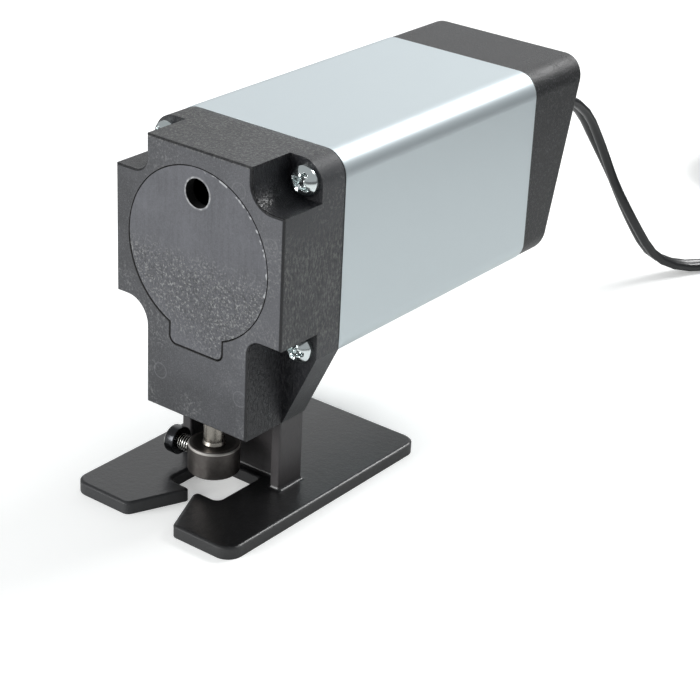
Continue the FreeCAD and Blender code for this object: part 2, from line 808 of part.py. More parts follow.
def plunger():
    body = rod(plunger_r, V(0, plunger_y, plunger_z), V(0, plunger_y, yoke_foot_z))
    stem = rod(stem_r, V(0, plunger_y, yoke_foot_z - 1), V(0, plunger_y, stem_end_z))
    flare = Part.makeCone(plunger_r + flare_out, plunger_r, flare_h, V(0, plunger_y, collar_z + collar_h), Z)
    cuts = [rod(blade_bore_r, V(0, plunger_y, plunger_z - 1), V(0, plunger_y, plunger_z + blade_bore_l)),
            cross_pin(5),
            clamp_rod(clamp_r + 2 * fit_gap, 0, collar_r)]
    return fuse(body, stem, flare).cut(cuts)


def blade_collar():
    base = V(0, plunger_y, collar_z)
    body = Part.makeCylinder(collar_r, collar_h, base, Z)
    rims = [edge for edge in body.Edges if edge.BoundBox.ZLength < 0.01]
    body = body.makeChamfer(collar_rim, rims)
    return body.cut([rod(plunger_r, base - Z, base + Z * (collar_h + 1)),
                     clamp_rod(clamp_r + fit_gap, 0, collar_r + 1)])


def clamp_screw():
    """Low-head socket screw, backed off: its tip has just left the blade's bore."""
    shank = clamp_rod(clamp_r, clamp_tip, clamp_seat + 0.5)
    head = clamp_rod(clamp_head_r, clamp_seat, clamp_seat + clamp_head_l)
    rim = [edge for edge in head.Edges if edge.BoundBox.XMax < -clamp_seat - clamp_head_l + 0.01]
    return fuse(shank, head.makeChamfer(0.3, rim)).cut(hex_socket())


def hex_socket():
    """The clamp screw's hexagonal recess."""
    radius = socket_w / math.sqrt(3)
    outer = -clamp_seat - clamp_head_l
    points = []
    for step in range(7):
        angle = math.radians(60 * step)
        points.append(V(outer - 1, plunger_y + radius * math.cos(angle), clamp_z + radius * math.sin(angle)))
    return Part.Face(Part.makePolygon(points)).extrude(X * (socket_l + 1))


def plunger_bush(radius, z0, z1):
    """Ring around the plunger with running clearance."""
    outer = rod(radius, V(0, plunger_y, z0), V(0, plunger_y, z1))
    return outer.cut(rod(plunger_r + run_gap, V(0, plunger_y, z0 - 1), V(0, plunger_y, z1 + 1)))


def lower_bush():
    return plunger_bush(bush_r, lower_bush_z, lower_bush_z + bush_l)


def upper_bush():
    """Flanged bush; the flange is cut flat at the front to clear the cover."""
    flange = plunger_bush(bush_r + upper_bush_flange_w, chamber_floor_z, upper_bush_z + bush_l)
    clear = box(-10, 10, front_y + cover_t + 0.2, pocket_y + 10, chamber_floor_z - 1, chamber_floor_z + 10)
    return fuse(plunger_bush(bush_r, upper_bush_z, upper_bush_z + bush_l), flange.common(clear))


def oil_felt():
    return plunger_bush(bush_r, lower_bush_z + bush_l, upper_bush_z)


# ---------------------------------------------------------------- switch and strain relief
def switch_block(grow, y0, y1):
    """The switch's body, seen square to the rear face, with its seat at y = 0."""
    half_w, half_h = switch_w / 2 - bezel_w + grow, switch_h / 2 - bezel_w + grow
    return box(-half_w, half_w, y0, y1, -half_h, half_h)


def switch_body():
    bezel = box(-switch_w / 2, switch_w / 2, 0, bezel_t, -switch_h / 2, switch_h / 2)
    shape = fuse(bezel, switch_block(0, -switch_d, bezel_t / 2))
    well = switch_block(-well_wall, -well_d, 2 * bezel_t)
    half_w = switch_w / 2 - bezel_w
    pivots = rod(trunnion_r + fit_gap, V(-half_w, -pivot_depth, 0), V(half_w, -pivot_depth, 0))
    return on_rear_face(shape.cut([well, pivots]), switch_z)


def switch_rocker():
    """Rocker at its off position; its two faces meet in a shallow V over the pivot."""
    half_w = switch_w / 2 - bezel_w - well_wall - rocker_side_gap
    half_h = switch_h / 2 - bezel_w - well_wall - rocker_end_gap
    wire = Part.makePolygon([V(-half_w, y, z) for y, z in (
        (-3.2, -2.0), (-1.4, -half_h), (rocker_high, -half_h), (rocker_low, 0), (rocker_high, half_h),
        (-1.4, half_h), (-3.2, 2.0), (-3.2, -2.0))])
    body = Part.Face(wire).extrude(V(2 * half_w, 0, 0))
    reach = half_w + rocker_side_gap + well_wall - 0.2
    rocker = fuse(body, rod(trunnion_r, V(-reach, -pivot_depth, 0), V(reach, -pivot_depth, 0)))
    rocker.rotate(V(0, -pivot_depth, 0), X, rocker_tilt)
    return on_rear_face(rocker, switch_z)


def strain_relief():
    """Flanged bush with a tapered, notched tail that leaves the rear face square."""
    flange = rod(relief_flange_r, V(0, 0, 0), V(0, relief_flange_t, 0))
    neck = rod(relief_neck_r, V(0, -relief_neck_l, 0), V(0, 0.5, 0))
    tail = Part.makeCone(relief_r, relief_tip_r, relief_l - relief_flange_t, V(0, relief_flange_t, 0), Y)
    notches = []
    for step in range(4):
        y = relief_flange_t + notch_first + notch_pitch * step
        notches.append(box(relief_core, 8, y, y + notch_w, -8, 8))
        notches.append(box(-8, -relief_core, y, y + notch_w, -8, 8))
    return on_rear_face(fuse(flange, neck, tail).cut(notches), relief_z)


# ---------------------------------------------------------------- flex and plug
def cord_points():
    """Corners of the flex's route, from the strain relief to the coil."""
    tip = V(0, rear_face_y(relief_z), relief_z) + rear_normal * relief_l
    last_x = coil_x + coil_r + outer_turn
    return [tip, tip + rear_normal * 24.0] + [V(x, rear_y + back, z) for x, back, z in (
        (1.0, 54.1, 43.4),
        (8.7, 59.8, 23.8),
        (14.3, 74.7, cord_r),
        (31.0, 104.0, cord_r),
        (36.0, 129.5, cord_r),
        (37.3, 157.5, cord_r),
        (last_x, coil_back, cord_r),
    )]


def tail_points():
    """Corners of the flex's end, from the top of the coil into the plug."""
    plug_z = coil_h + plug_t / 2
    return [V(coil_x - 24.8, coil_y - 15.0, coil_h - 1.0),
            V(coil_x - 11.4, coil_y - 28.4, coil_h + 0.5),
            V(coil_x + 7.6, coil_y - 28.4, coil_h + 3.0),
            V(coil_x + 21.0, coil_y - 15.0, plug_z),
            V(coil_x + 21.0, coil_y + 4.0, plug_z)]


def tube(points, name):
    """Flex in straight runs joined by tangent arcs, as large as the runs allow."""
    edges, here = [], points[0]
    for i in range(1, len(points) - 1):
        corner = points[i]
        back, ahead = points[i - 1] - corner, points[i + 1] - corner
        reach = 0.45 * min(back.Length, ahead.Length)
        back.normalize()
        ahead.normalize()
        half = math.acos(back.dot(ahead)) / 2
        bend = reach * math.tan(half)
        start, stop = corner + back * reach, corner + ahead * reach
        middle = corner + (back + ahead).normalize() * (bend / math.sin(half) - bend)
        edges.append(Part.LineSegment(here, start).toShape())
        edges.append(Part.Arc(start, middle, stop).toShape())
        print(f"{name} corner {i}: radius {bend:.1f}, turn {180 - math.degrees(2 * half):.0f}")
        here = stop
    edges.append(Part.LineSegment(here, points[-1]).toShape())
    path = Part.Wire(edges)
    section = Part.Wire(Part.makeCircle(cord_r, points[0], points[1] - points[0]))
    shape = path.makePipeShell([section], True, False)
    solid = shape if shape.ShapeType == "Solid" else Part.Solid(Part.Shell(shape.Faces))
    print(f"{name} length {path.Length:.1f}, volume / (section x length) "
          f"{solid.Volume / (math.pi * cord_r ** 2 * path.Length):.4f}")
    return solid


def cord_flex():
    return tube(cord_points(), "flex")


def cord_tail():
    return tube(tail_points(), "tail")


def cord_coil():
    """The coiled flex as one solid ring with bevelled edges."""
    inner, outer = coil_r - coil_w / 2, coil_r + coil_w / 2
    cut, high = coil_bevel, coil_h - coil_bevel
    outline = [(inner + cut, 0), (outer - cut, 0), (outer, cut), (outer, high),
               (outer - cut, coil_h), (inner + cut, coil_h), (inner, high), (inner, cut)]
    wire = Part.makePolygon([V(coil_x + x, coil_y, z) for x, z in outline + outline[:1]])
    return Part.Face(wire).revolve(V(coil_x, coil_y, 0), Z, 360)


def plug_frame(shape):
    """Move a plug piece from its own frame, flex end at the origin and +Y ahead, to its place."""
    shape = shape.copy()
    way = tail_points()[-1] - tail_points()[-2]
    shape.rotate(V(0, 0, 0), Z, math.degrees(math.atan2(-way.x, way.y)))
    shape.translate(tail_points()[-1])
    return shape


def mains_plug():
    half_w, half_t = plug_w / 2, plug_t / 2
    body = slab_z([(-plug_throat, 0, 0), (plug_throat, 0, 0), (half_w, plug_shoulder, 4.0),
                   (half_w, plug_l, 0), (-half_w, plug_l, 0), (-half_w, plug_shoulder, 4.0)], -half_t, half_t)
    long_edges = [edge for edge in body.Edges if lies_at_z(edge, half_t) or lies_at_z(edge, -half_t)]
    return plug_frame(body.makeChamfer(plug_edge, long_edges))


def plug_blades():
    """The two flat blades standing in the plug's face."""
    solids = []
    for side in (-1, 1):
        x = side * blades_apart / 2
        blade = box(x - blade_t / 2, x + blade_t / 2, plug_l, plug_l + blade_l, -blade_w / 2, blade_w / 2)
        solids.append(plug_frame(blade))
    return Part.makeCompound(solids)


pieces = {
    "front_housing": front_housing,
    "front_cover": front_cover,
    "foot": foot,
    "housing_screws": housing_screws,
    "foot_screws": foot_screws,
    "sleeve": sleeve,
    "rear_cap": rear_cap,
    "motor_cradle": motor_cradle,
    "motor_can": motor_can,
    "motor_magnets": motor_magnets,
    "motor_front_bearing": motor_front_bearing,
    "motor_rear_bearing": motor_rear_bearing,
    "motor_end_cap": motor_end_cap,
    "motor_terminals": motor_terminals,
    "carbon_brushes": carbon_brushes,
    "suppressor": suppressor,
    "motor_screws": motor_screws,
    "motor_shaft": motor_shaft,
    "rotor_core": rotor_core,
    "rotor_windings": rotor_windings,
    "commutator": commutator,
    "thrust_washers": thrust_washers,
    "crank_disc": crank_disc,
    "crank_screw": crank_screw,
    "crank_pin": crank_pin,
    "crank_roller": crank_roller,
    "yoke": yoke,
    "yoke_pin": yoke_pin,
    "plunger": plunger,
    "blade_collar": blade_collar,
    "clamp_screw": clamp_screw,
    "lower_bush": lower_bush,
    "upper_bush": upper_bush,
    "oil_felt": oil_felt,
    "switch_body": switch_body,
    "switch_rocker": switch_rocker,
    "strain_relief": strain_relief,
    "cord_flex": cord_flex,
    "cord_tail": cord_tail,
    "cord_coil": cord_coil,
    "mains_plug": mains_plug,
    "plug_blades": plug_blades,
}

os.makedirs("parts", exist_ok=True)
for name, make in pieces.items():
    shape = make()
    for solid in shape.Solids:
        if not solid.isValid():
            print(f"{name} holds a solid that isn't valid")
    print(f"{name}: {len(shape.Solids)} solids, {shape.Volume:.0f} mm3")
    shape.exportStep(f"parts/{name}.step")
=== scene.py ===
# %% [markdown]
# # A small hand-held sabre saw
# The saw is packed as rigid CAD pieces, and this file dresses them. Most pieces already have the
# right shape, so they only get a finish. The flex, the plug, the screws and the clamp screw need
# more than a CAD solid gives, so they are built here and stand in for their CAD pieces.
#
# The first cell loads the imported pieces and sets each one's placement into its mesh.

# %% Load the imported pieces
import math

import bmesh
import bpy
from mathutils import Matrix, Vector


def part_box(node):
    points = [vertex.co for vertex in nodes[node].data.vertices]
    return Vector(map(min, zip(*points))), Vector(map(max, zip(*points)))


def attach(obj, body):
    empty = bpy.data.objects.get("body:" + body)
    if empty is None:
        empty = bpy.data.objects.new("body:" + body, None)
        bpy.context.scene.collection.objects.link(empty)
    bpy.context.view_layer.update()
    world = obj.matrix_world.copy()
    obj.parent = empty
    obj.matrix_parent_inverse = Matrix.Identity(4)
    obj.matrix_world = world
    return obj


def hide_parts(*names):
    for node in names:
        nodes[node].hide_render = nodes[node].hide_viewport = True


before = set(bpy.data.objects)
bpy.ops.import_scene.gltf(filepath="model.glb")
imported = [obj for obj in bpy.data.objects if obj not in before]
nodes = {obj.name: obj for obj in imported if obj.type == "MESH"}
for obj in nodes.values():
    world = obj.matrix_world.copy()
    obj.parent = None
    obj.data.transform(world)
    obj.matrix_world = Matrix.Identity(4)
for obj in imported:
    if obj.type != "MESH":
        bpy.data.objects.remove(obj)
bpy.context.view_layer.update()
MM = 0.001

# %% [markdown]
# ## Camera
# The saw is looked at from its front right corner, a little from above, with a long lens. The
# camera is placed by an azimuth and an elevation, so its axes are worked out by hand: one axis
# points backwards, one to the right and one up, and a small roll tilts the last two.

# %% Camera
def camera_at(place, azimuth, elevation, roll, lens, shift):
    """A camera at place that looks along the azimuth and down by the elevation, in degrees."""
    azimuth, elevation, roll = (math.radians(v) for v in (azimuth, elevation, roll))
    level = math.cos(elevation)
    back = Vector((math.sin(azimuth) * level, -math.cos(azimuth) * level, math.sin(elevation)))
    right = Vector((0, 0, 1)).cross(back).normalized()
    up = back.cross(right)
    tilted_right = right * math.cos(roll) + up * math.sin(roll)
    tilted_up = up * math.cos(roll) - right * math.sin(roll)
    data = bpy.data.cameras.new("camera")
    data.lens = lens
    data.shift_x, data.shift_y = shift
    camera = bpy.data.objects.new("camera", data)
    turn = Matrix((tilted_right, tilted_up, back)).transposed()
    camera.matrix_world = Matrix.Translation(place) @ turn.to_4x4()
    bpy.context.scene.collection.objects.link(camera)
    return camera


bpy.context.scene.camera = camera_at(
    Vector((0.27348, -0.35993, 0.24167)), azimuth=36.18, elevation=25.59, roll=3.005,
    lens=102.09, shift=(-0.0267, -0.0190))
print("camera lens", bpy.context.scene.camera.data.lens)

# %% [markdown]
# ## The route of the flex
# The saw has a flat twin flex, 5.4 by 2.7 mm. It leaves a strain relief on the leaning rear
# face, falls to the table and runs back to a coil that holds the rest of it. It is declared as
# 1.8 m long; its drawn line comes out a few per cent shorter, which the cell below prints.
#
# Its line is one NURBS spline. The points down to the table are listed, and the turns
# are worked out: each one keeps its radius for most of the way round and then steps to the next,
# as a hand-wound coil does. Three turns lie in each of three layers, wound inwards on the table,
# outwards on top of them and inwards again. At its end the flex climbs off the coil in one last
# wide arc to the plug. That arc has points of its own and not those of the CAD route.

# %% Control points of the flex
FLEX_W, FLEX_T = 5.4, 2.7
PER_TURN = 16
fall = [(0, 84.1, 69.8), (0, 107.3, 63.6), (1, 122.6, 43.4), (8.7, 128.3, 23.8),
        (14.3, 143.2, 1.5), (31, 172.5, 1.5), (36, 198, 1.5), (37.1, 226, 2.2)]
coil_low, coil_high = (Vector(corner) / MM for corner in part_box("cord_coil"))
coil_centre = (coil_low + coil_high) / 2
coil_top = coil_high.z


def ease(x):
    """0 below 0, 1 above 1, and a smooth step between."""
    x = min(1.0, max(0.0, x))
    return x * x * (3 - 2 * x)


def coil_points(turns, across, middle, pitch, step_up, climb):
    """Layers of turns, each layer as many turns across, wound inwards and outwards in turn."""
    points = []
    for step in range(int(turns * PER_TURN) + 1):
        lap, part = divmod(step / PER_TURN, 1.0)
        stepping = ease((part - 0.75) / 0.25)
        place, height = 0, 0
        for turn, share in ((int(lap), 1 - stepping), (int(lap) + 1, stepping)):
            layer, inside = divmod(turn, across)
            row = inside if layer % 2 == 0 else across - 1 - inside
            place += share * ((across - 1) / 2 - row)
            height += share * layer
        radius = (middle + pitch * place) / math.cos(math.pi / PER_TURN)
        off = climb * ease((step / PER_TURN - turns + 0.36) / 0.3)
        angle = 2 * math.pi * step / PER_TURN
        points.append((coil_centre.x + radius * math.cos(angle),
                       coil_centre.y + radius * math.sin(angle),
                       FLEX_W / 2 + 0.1 + height * step_up + off))
    return points


winding = coil_points(turns=8.6, across=3, middle=27.0, pitch=2.8, step_up=5.5, climb=4.8)
# The last arc, from its first step round to the plug, and its place from the coil's centre and top
TAIL_R, TAIL_X, TAIL_Y, TAIL_BACK = 22.6, 21.0, 4.0, 1.0
TAIL_LOW, TAIL_RISE = 2.4, 6.0
TAIL_FIRST = 10
tail = []
for step in range(TAIL_FIRST, PER_TURN + 1):
    angle = 2 * math.pi * step / PER_TURN
    corner = math.cos(math.pi / PER_TURN)
    rise = ease((step - TAIL_FIRST) / (PER_TURN - TAIL_FIRST))
    tail.append((coil_centre.x + TAIL_X + TAIL_R * (math.cos(angle) / corner - 1),
                 coil_centre.y - TAIL_BACK + TAIL_R * math.sin(angle) / corner,
                 coil_top + TAIL_LOW + (TAIL_RISE - TAIL_LOW) * rise))
tail.append((coil_centre.x + TAIL_X, coil_centre.y + TAIL_Y, coil_top + TAIL_RISE))
print(len(fall), "points down to the coil,", len(winding), "in it,", len(tail), "to the plug")

# %% [markdown]
# A curve object with no bevel turns into a plain string of points, and those points carry the
# flex's own section. The order and the end setting are given after the points are added,
# because before them they have no effect.

# %% Centreline
def spline_line(points, name):
    """The points of a smooth open NURBS spline through the control points' neighbourhood."""
    curve = bpy.data.curves.new(name, "CURVE")
    curve.dimensions = "3D"
    spline = curve.splines.new("NURBS")
    spline.points.add(len(points) - 1)
    for point, place in zip(spline.points, points):
        point.co = (*(Vector(place) * MM), 1)
    spline.order_u = 3
    spline.use_endpoint_u = True
    spline.resolution_u = 5
    holder = bpy.data.objects.new(name, curve)
    bpy.context.scene.collection.objects.link(holder)
    depsgraph = bpy.context.evaluated_depsgraph_get()
    mesh = bpy.data.meshes.new_from_object(holder.evaluated_get(depsgraph))
    line = [v.co.copy() for v in mesh.vertices]
    bpy.data.objects.remove(holder)
    bpy.data.meshes.remove(mesh)
    return line


line = spline_line(fall + winding + tail, "flex_line")
travel = [0.0]
for before, after in zip(line, line[1:]):
    travel.append(travel[-1] + (after - before).length)
flex_length = travel[-1]
print(f"flex {flex_length:.3f} m in {len(line)} points")

# %% [markdown]
# ## The flex itself
# The section is two round lobes with a groove between them. It is carried along the line by
# hand, because a flat flex has to turn: it falls and lies on its flat side, but is wound on its
# edge. A little helper makes a mesh object from rows of points, and serves every swept piece.

# %% Rows of points to a mesh
def shown(name, mesh, body):
    """Put a mesh into the scene, riding on one of the CAD bodies."""
    piece = bpy.data.objects.new(name, mesh)
    bpy.context.scene.collection.objects.link(piece)
    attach(piece, body)
    return piece


def skin(rows, shape=None, loop=False):
    """Join rows of equally many points with faces, and close both ends, or join the last row
    to the first; more skins can go into one shape."""
    shape = shape or bmesh.new()
    made = [[shape.verts.new(p) for p in row] for row in rows]
    if loop:
        made.append(made[0])
    count = len(made[0])
    for a, b in zip(made, made[1:]):
        for i in range(count):
            j = (i + 1) % count
            shape.faces.new((a[i], a[j], b[j], b[i]))
    if not loop:
        shape.faces.new(made[0][::-1])
        shape.faces.new(made[-1])
    bmesh.ops.recalc_face_normals(shape, faces=shape.faces)
    return shape


def as_mesh(shape, name, sharp=math.radians(38)):
    """Turn a bmesh into a mesh with smooth faces and sharp creases."""
    mesh = bpy.data.meshes.new(name)
    shape.normal_update()
    for face in shape.faces:
        face.smooth = True
    for edge in shape.edges:
        edge.smooth = len(edge.link_faces) == 2 and edge.calc_face_angle(0) < sharp
    shape.to_mesh(mesh)
    shape.free()
    return mesh


# %% Twin section along the line
def twin_section():
    """Outline of the flex, across its width and its thickness, in metres."""
    lobe = FLEX_T / 2
    right = [(lobe + lobe * math.cos(math.radians(a)), lobe * math.sin(math.radians(a)))
             for a in range(-140, 141, 28)]
    left = [(-x, -y) for x, y in right]
    groove = 0.45 * lobe
    outline = right + [(0, groove)] + left + [(0, -groove)]
    return [(x * MM, y * MM) for x, y in outline]


# Metres along the flex where it turns on edge, and metres from its end where it turns flat again
EDGE_FROM, EDGE_OVER = 0.125, 0.075
FLAT_FROM, FLAT_OVER = 0.085, 0.05


def flex_rows(line, travel):
    """The section at every point: flat on the way down, on edge in the coil, flat at the plug."""
    rows = []
    outline = twin_section()
    for i, point in enumerate(line):
        ahead = (line[min(i + 1, len(line) - 1)] - line[max(i - 1, 0)]).normalized()
        side = ahead.cross(Vector((0, 0, 1))).normalized()
        up = side.cross(ahead)
        left = flex_length - travel[i]
        on_edge = ease((travel[i] - EDGE_FROM) / EDGE_OVER) * ease((left - FLAT_FROM) / FLAT_OVER)
        turn = math.radians(90) * on_edge
        # the wider it stands, the higher its middle has to be for it to lie on the floor
        lowest = FLEX_T / 2 * (1 + math.sin(turn)) * MM
        point = Vector((point.x, point.y, max(point.z, lowest)))
        wide = side * math.cos(turn) + up * math.sin(turn)
        thick = up * math.cos(turn) - side * math.sin(turn)
        rows.append([point + wide * x + thick * y for x, y in outline])
    return rows


flex_mesh = as_mesh(skin(flex_rows(line, travel)), "mains_flex", math.radians(60))
flex = shown("mains_flex", flex_mesh, "saw")
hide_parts("cord_flex", "cord_tail", "cord_coil")
print("flex faces", len(flex.data.polygons))

# %% [markdown]
# ## Turned pieces
# Screws and the strain relief are rings of points around an axis. A ring is a radius and a height,
# or a function that gives both for an angle, so one helper makes plain shanks, cross recesses,
# hexagonal sockets and threads alike.

# %% Rings around an axis
def facing(origin, axis):
    """Frame at a point in millimetres, with its third axis along the given one."""
    turn = Vector(axis).to_track_quat("Z", "Y").to_matrix().to_4x4()
    return Matrix.Translation(Vector(origin) * MM) @ turn @ Matrix.Scale(MM, 4)


def turned(rings, place=Matrix.Scale(MM, 4), around=64):
    """Rows of points from rings, each a pair or a function of the angle that gives the pair."""
    rows = []
    for ring in rings:
        row = []
        for i in range(around):
            angle = 2 * math.pi * i / around
            radius, height = ring(angle) if callable(ring) else ring
            row.append(place @ Vector((radius * math.cos(angle), radius * math.sin(angle), height)))
        rows.append(row)
    return rows


# %% [markdown]
# The four long screws have pan heads with a cross recess. The head is a height field: a dome,
# minus a recess that depends on how far a point lies along and beside the nearest arm.

# %% Pan head screw
TIE_R, TIE_HEAD_R, TIE_HEAD_H = 1.75, 3.6, 3.1


def cross_depth(radius, angle, reach, half, deep):
    """Depth of a cross recess at a point of the head."""
    x, y = abs(radius * math.cos(angle)), abs(radius * math.sin(angle))
    along, beside = max(x, y), min(x, y)
    width = half * (1.15 - 0.35 * along / reach)
    wall = min(1.0, max(0.0, (width - beside) / 0.16 + 0.5))
    floor = min(1.0, max(0.0, (reach - along) / (0.5 * reach)))
    bowl = min(1.0, max(0.0, (1.05 * half * 1.9 - radius) / 0.2 + 0.5))
    return deep * max(wall * floor, 0.85 * bowl)


def pan_head_rings(radius, height, shank_r, shank_l, deep):
    """Rings from the middle of the head over its rim and down the shank."""
    def dome(r):
        def ring(angle):
            crown = height - 0.62 * height * (r / radius) ** 2.8
            return r, crown - cross_depth(r, angle, 0.76 * radius, 0.18 * radius, deep)
        return ring
    steps = 34
    rings = [dome(radius * 0.995 * max(0.01, i / steps)) for i in range(steps + 1)]
    rings += [(radius, 0.33 * height), (radius, 0.12), (radius - 0.12, 0), (shank_r + 0.2, 0),
              (shank_r, -0.2), (shank_r, 0.5 - shank_l), (shank_r - 0.5, -shank_l)]
    return rings


tie_low, tie_high = (Vector(corner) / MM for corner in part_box("housing_screws"))
tie_length = tie_high.y - tie_low.y - TIE_HEAD_H
tie_rings = pan_head_rings(TIE_HEAD_R, TIE_HEAD_H, TIE_R, tie_length, 1.5)
one_screw = as_mesh(skin(turned(tie_rings, facing((0, 0, 0), (0, -1, 0)), 96)), "one_screw")
print("one screw has", len(one_screw.polygons), "faces")

# %% [markdown]
# A Geometry Nodes tree puts that screw on four points. Every point carries the angle its recess
# was left at when the screw was driven home.

# %% Four screws on four points
def point_cloud(name, places, turns):
    """Loose points in metres with an angle each, as an object for the tree to work on."""
    mesh = bpy.data.meshes.new(name)
    mesh.from_pydata([Vector(p) * MM for p in places], [], [])
    mesh.attributes.new("turn", "FLOAT", "POINT").data.foreach_set("value", turns)
    holder = bpy.data.objects.new(name, mesh)
    bpy.context.scene.collection.objects.link(holder)
    return holder


def placing_tree():
    """Node tree: one piece on every point, turned about Y, in one mesh with one material."""
    tree = bpy.data.node_groups.new("piece_on_points", "GeometryNodeTree")
    face = tree.interface
    face.new_socket("Points", in_out="INPUT", socket_type="NodeSocketGeometry")
    face.new_socket("Piece", in_out="INPUT", socket_type="NodeSocketObject")
    face.new_socket("Finish", in_out="INPUT", socket_type="NodeSocketMaterial")
    face.new_socket("Result", in_out="OUTPUT", socket_type="NodeSocketGeometry")
    entry, leave, source, angle, euler, spread, real, paint = (tree.nodes.new(kind) for kind in (
        "NodeGroupInput", "NodeGroupOutput", "GeometryNodeObjectInfo",
        "GeometryNodeInputNamedAttribute", "ShaderNodeCombineXYZ",
        "GeometryNodeInstanceOnPoints", "GeometryNodeRealizeInstances",
        "GeometryNodeSetMaterial"))
    angle.data_type = "FLOAT"
    angle.inputs["Name"].default_value = "turn"
    for start, end in (
            (entry.outputs["Points"], spread.inputs["Points"]),
            (entry.outputs["Piece"], source.inputs["Object"]),
            (source.outputs["Geometry"], spread.inputs["Instance"]),
            (angle.outputs["Attribute"], euler.inputs["Y"]),
            (euler.outputs["Vector"], spread.inputs["Rotation"]),
            (spread.outputs["Instances"], real.inputs["Geometry"]),
            (real.outputs["Geometry"], paint.inputs["Geometry"]),
            (entry.outputs["Finish"], paint.inputs["Material"]),
            (paint.outputs["Geometry"], leave.inputs["Result"])):
        tree.links.new(start, end)
    return tree


def placed(name, piece, places, turns, material, body):
    """Run the tree on the points and keep its result as a plain mesh on one body."""
    points = point_cloud(name + "_points", places, turns)
    source = bpy.data.objects.new(name + "_source", piece)
    bpy.context.scene.collection.objects.link(source)
    tree = placing_tree()
    modifier = points.modifiers.new("place", "NODES")
    modifier.node_group = tree
    given = {"Piece": source, "Finish": material}
    for item in tree.interface.items_tree:
        if item.name in given:
            modifier[item.identifier] = given[item.name]
    depsgraph = bpy.context.evaluated_depsgraph_get()
    mesh = bpy.data.meshes.new_from_object(points.evaluated_get(depsgraph))
    points.modifiers.clear()
    bpy.data.objects.remove(points)
    bpy.data.objects.remove(source)
    mesh.name = name
    return shown(name, mesh, body)


tie_x = (tie_high.x - tie_low.x) / 2 - TIE_HEAD_R
tie_z = (tie_high.z - tie_low.z) / 2 - TIE_HEAD_R
axis_z = (tie_high.z + tie_low.z) / 2
zinc_plate = bpy.data.materials.new("zinc_plate")
screws = placed("long_screws", one_screw,
                [(sx * tie_x, tie_low.y + TIE_HEAD_H, axis_z + sz * tie_z)
                 for sx in (-1, 1) for sz in (-1, 1)],
                [0.35, 0.9, 0.2, 0.55], zinc_plate, "saw")
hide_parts("housing_screws")
print("four screws:", len(screws.data.polygons), "faces")

# %% [markdown]
# The clamp screw is an M4 with a low head. Its thread is a real helix: the radius of each row
# rises and falls with the height plus the angle, so the crests climb as they go round.

# %% Clamp screw
M4_R, M4_ROOT_R, M4_PITCH = 1.98, 1.55, 0.7
CLAMP_HEAD_R, CLAMP_HEAD_L, HEX_W, HEX_DEEP = 3.5, 2.8, 3.0, 1.6


def hexagon(width, height, grow=0.0):
    """Ring in the shape of a hexagon across those flats."""
    def ring(angle):
        off = angle % math.radians(60) - math.radians(30)
        return (width / 2 + grow) / math.cos(off), height
    return ring


def thread_rings(length, crest, root, pitch, per_pitch=10):
    """Rings down a thread of that length, running out to the root at its tip."""
    def at(depth):
        def ring(angle):
            wave = (depth / pitch + angle / (2 * math.pi)) % 1.0
            ridge = min(1.0, max(0.0, 1.7 * (1 - abs(2 * wave - 1)) - 0.35))
            tip = min(1.0, (length - depth) / pitch)
            return root + (crest - root) * ridge * tip, -depth
        return ring
    count = round(length / pitch * per_pitch)
    return [at(length * i / count) for i in range(count + 1)]


clamp_low, clamp_high = (Vector(corner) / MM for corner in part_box("clamp_screw"))
clamp_seat = (clamp_low.x + CLAMP_HEAD_L, (clamp_low.y + clamp_high.y) / 2,
              (clamp_low.z + clamp_high.z) / 2)
head = CLAMP_HEAD_L
clamp_rings = [(0.04, head - HEX_DEEP - 0.3), hexagon(HEX_W, head - HEX_DEEP),
               hexagon(HEX_W, head - 0.15), hexagon(HEX_W, head, 0.15), (2.5, head),
               (CLAMP_HEAD_R - 0.35, head), (CLAMP_HEAD_R - 0.1, head - 0.1),
               (CLAMP_HEAD_R, head - 0.35), (CLAMP_HEAD_R, 0.15), (CLAMP_HEAD_R - 0.15, 0),
               (M4_R + 0.1, 0)]
clamp_rings += thread_rings(clamp_high.x - clamp_seat[0], M4_R, M4_ROOT_R, M4_PITCH)
clamp_rings.append((M4_ROOT_R - 0.3, -(clamp_high.x - clamp_seat[0])))
clamp = shown("clamp_screw_m4", as_mesh(skin(turned(
    clamp_rings, facing(clamp_seat, (-1, 0, 0)), 60)), "clamp_screw_m4", math.radians(30)),
    "clamp_screw")
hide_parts("clamp_screw")
print("clamp screw:", len(clamp.data.polygons), "faces")

# %% [markdown]
# The strain relief tapers towards the flex. Its grooves are cut alternately at the sides and at
# top and bottom, which lets it bend without the flex being pinched.

# %% Strain relief
RELIEF_L, RELIEF_R, RELIEF_TIP_R, RELIEF_FLANGE_R, RELIEF_FLANGE_T = 20.0, 4.6, 3.2, 6.2, 1.5


def relief_tail_ring(along):
    """Ring of the tail, cut in where a groove runs."""
    def ring(angle):
        share = (along - RELIEF_FLANGE_T) / (RELIEF_L - RELIEF_FLANGE_T)
        radius = RELIEF_R + (RELIEF_TIP_R - RELIEF_R) * share
        number, part = divmod((along - RELIEF_FLANGE_T - 1.2) / 2.3, 1.0)
        in_groove = ease((0.26 - abs(part - 0.5)) / 0.08) if 0 <= number < 7 else 0.0
        facing_side = abs(math.cos(angle)) if int(number) % 2 else abs(math.sin(angle))
        cut = in_groove * ease((facing_side - 0.42) / 0.12)
        return radius - 0.75 * cut, along
    return ring


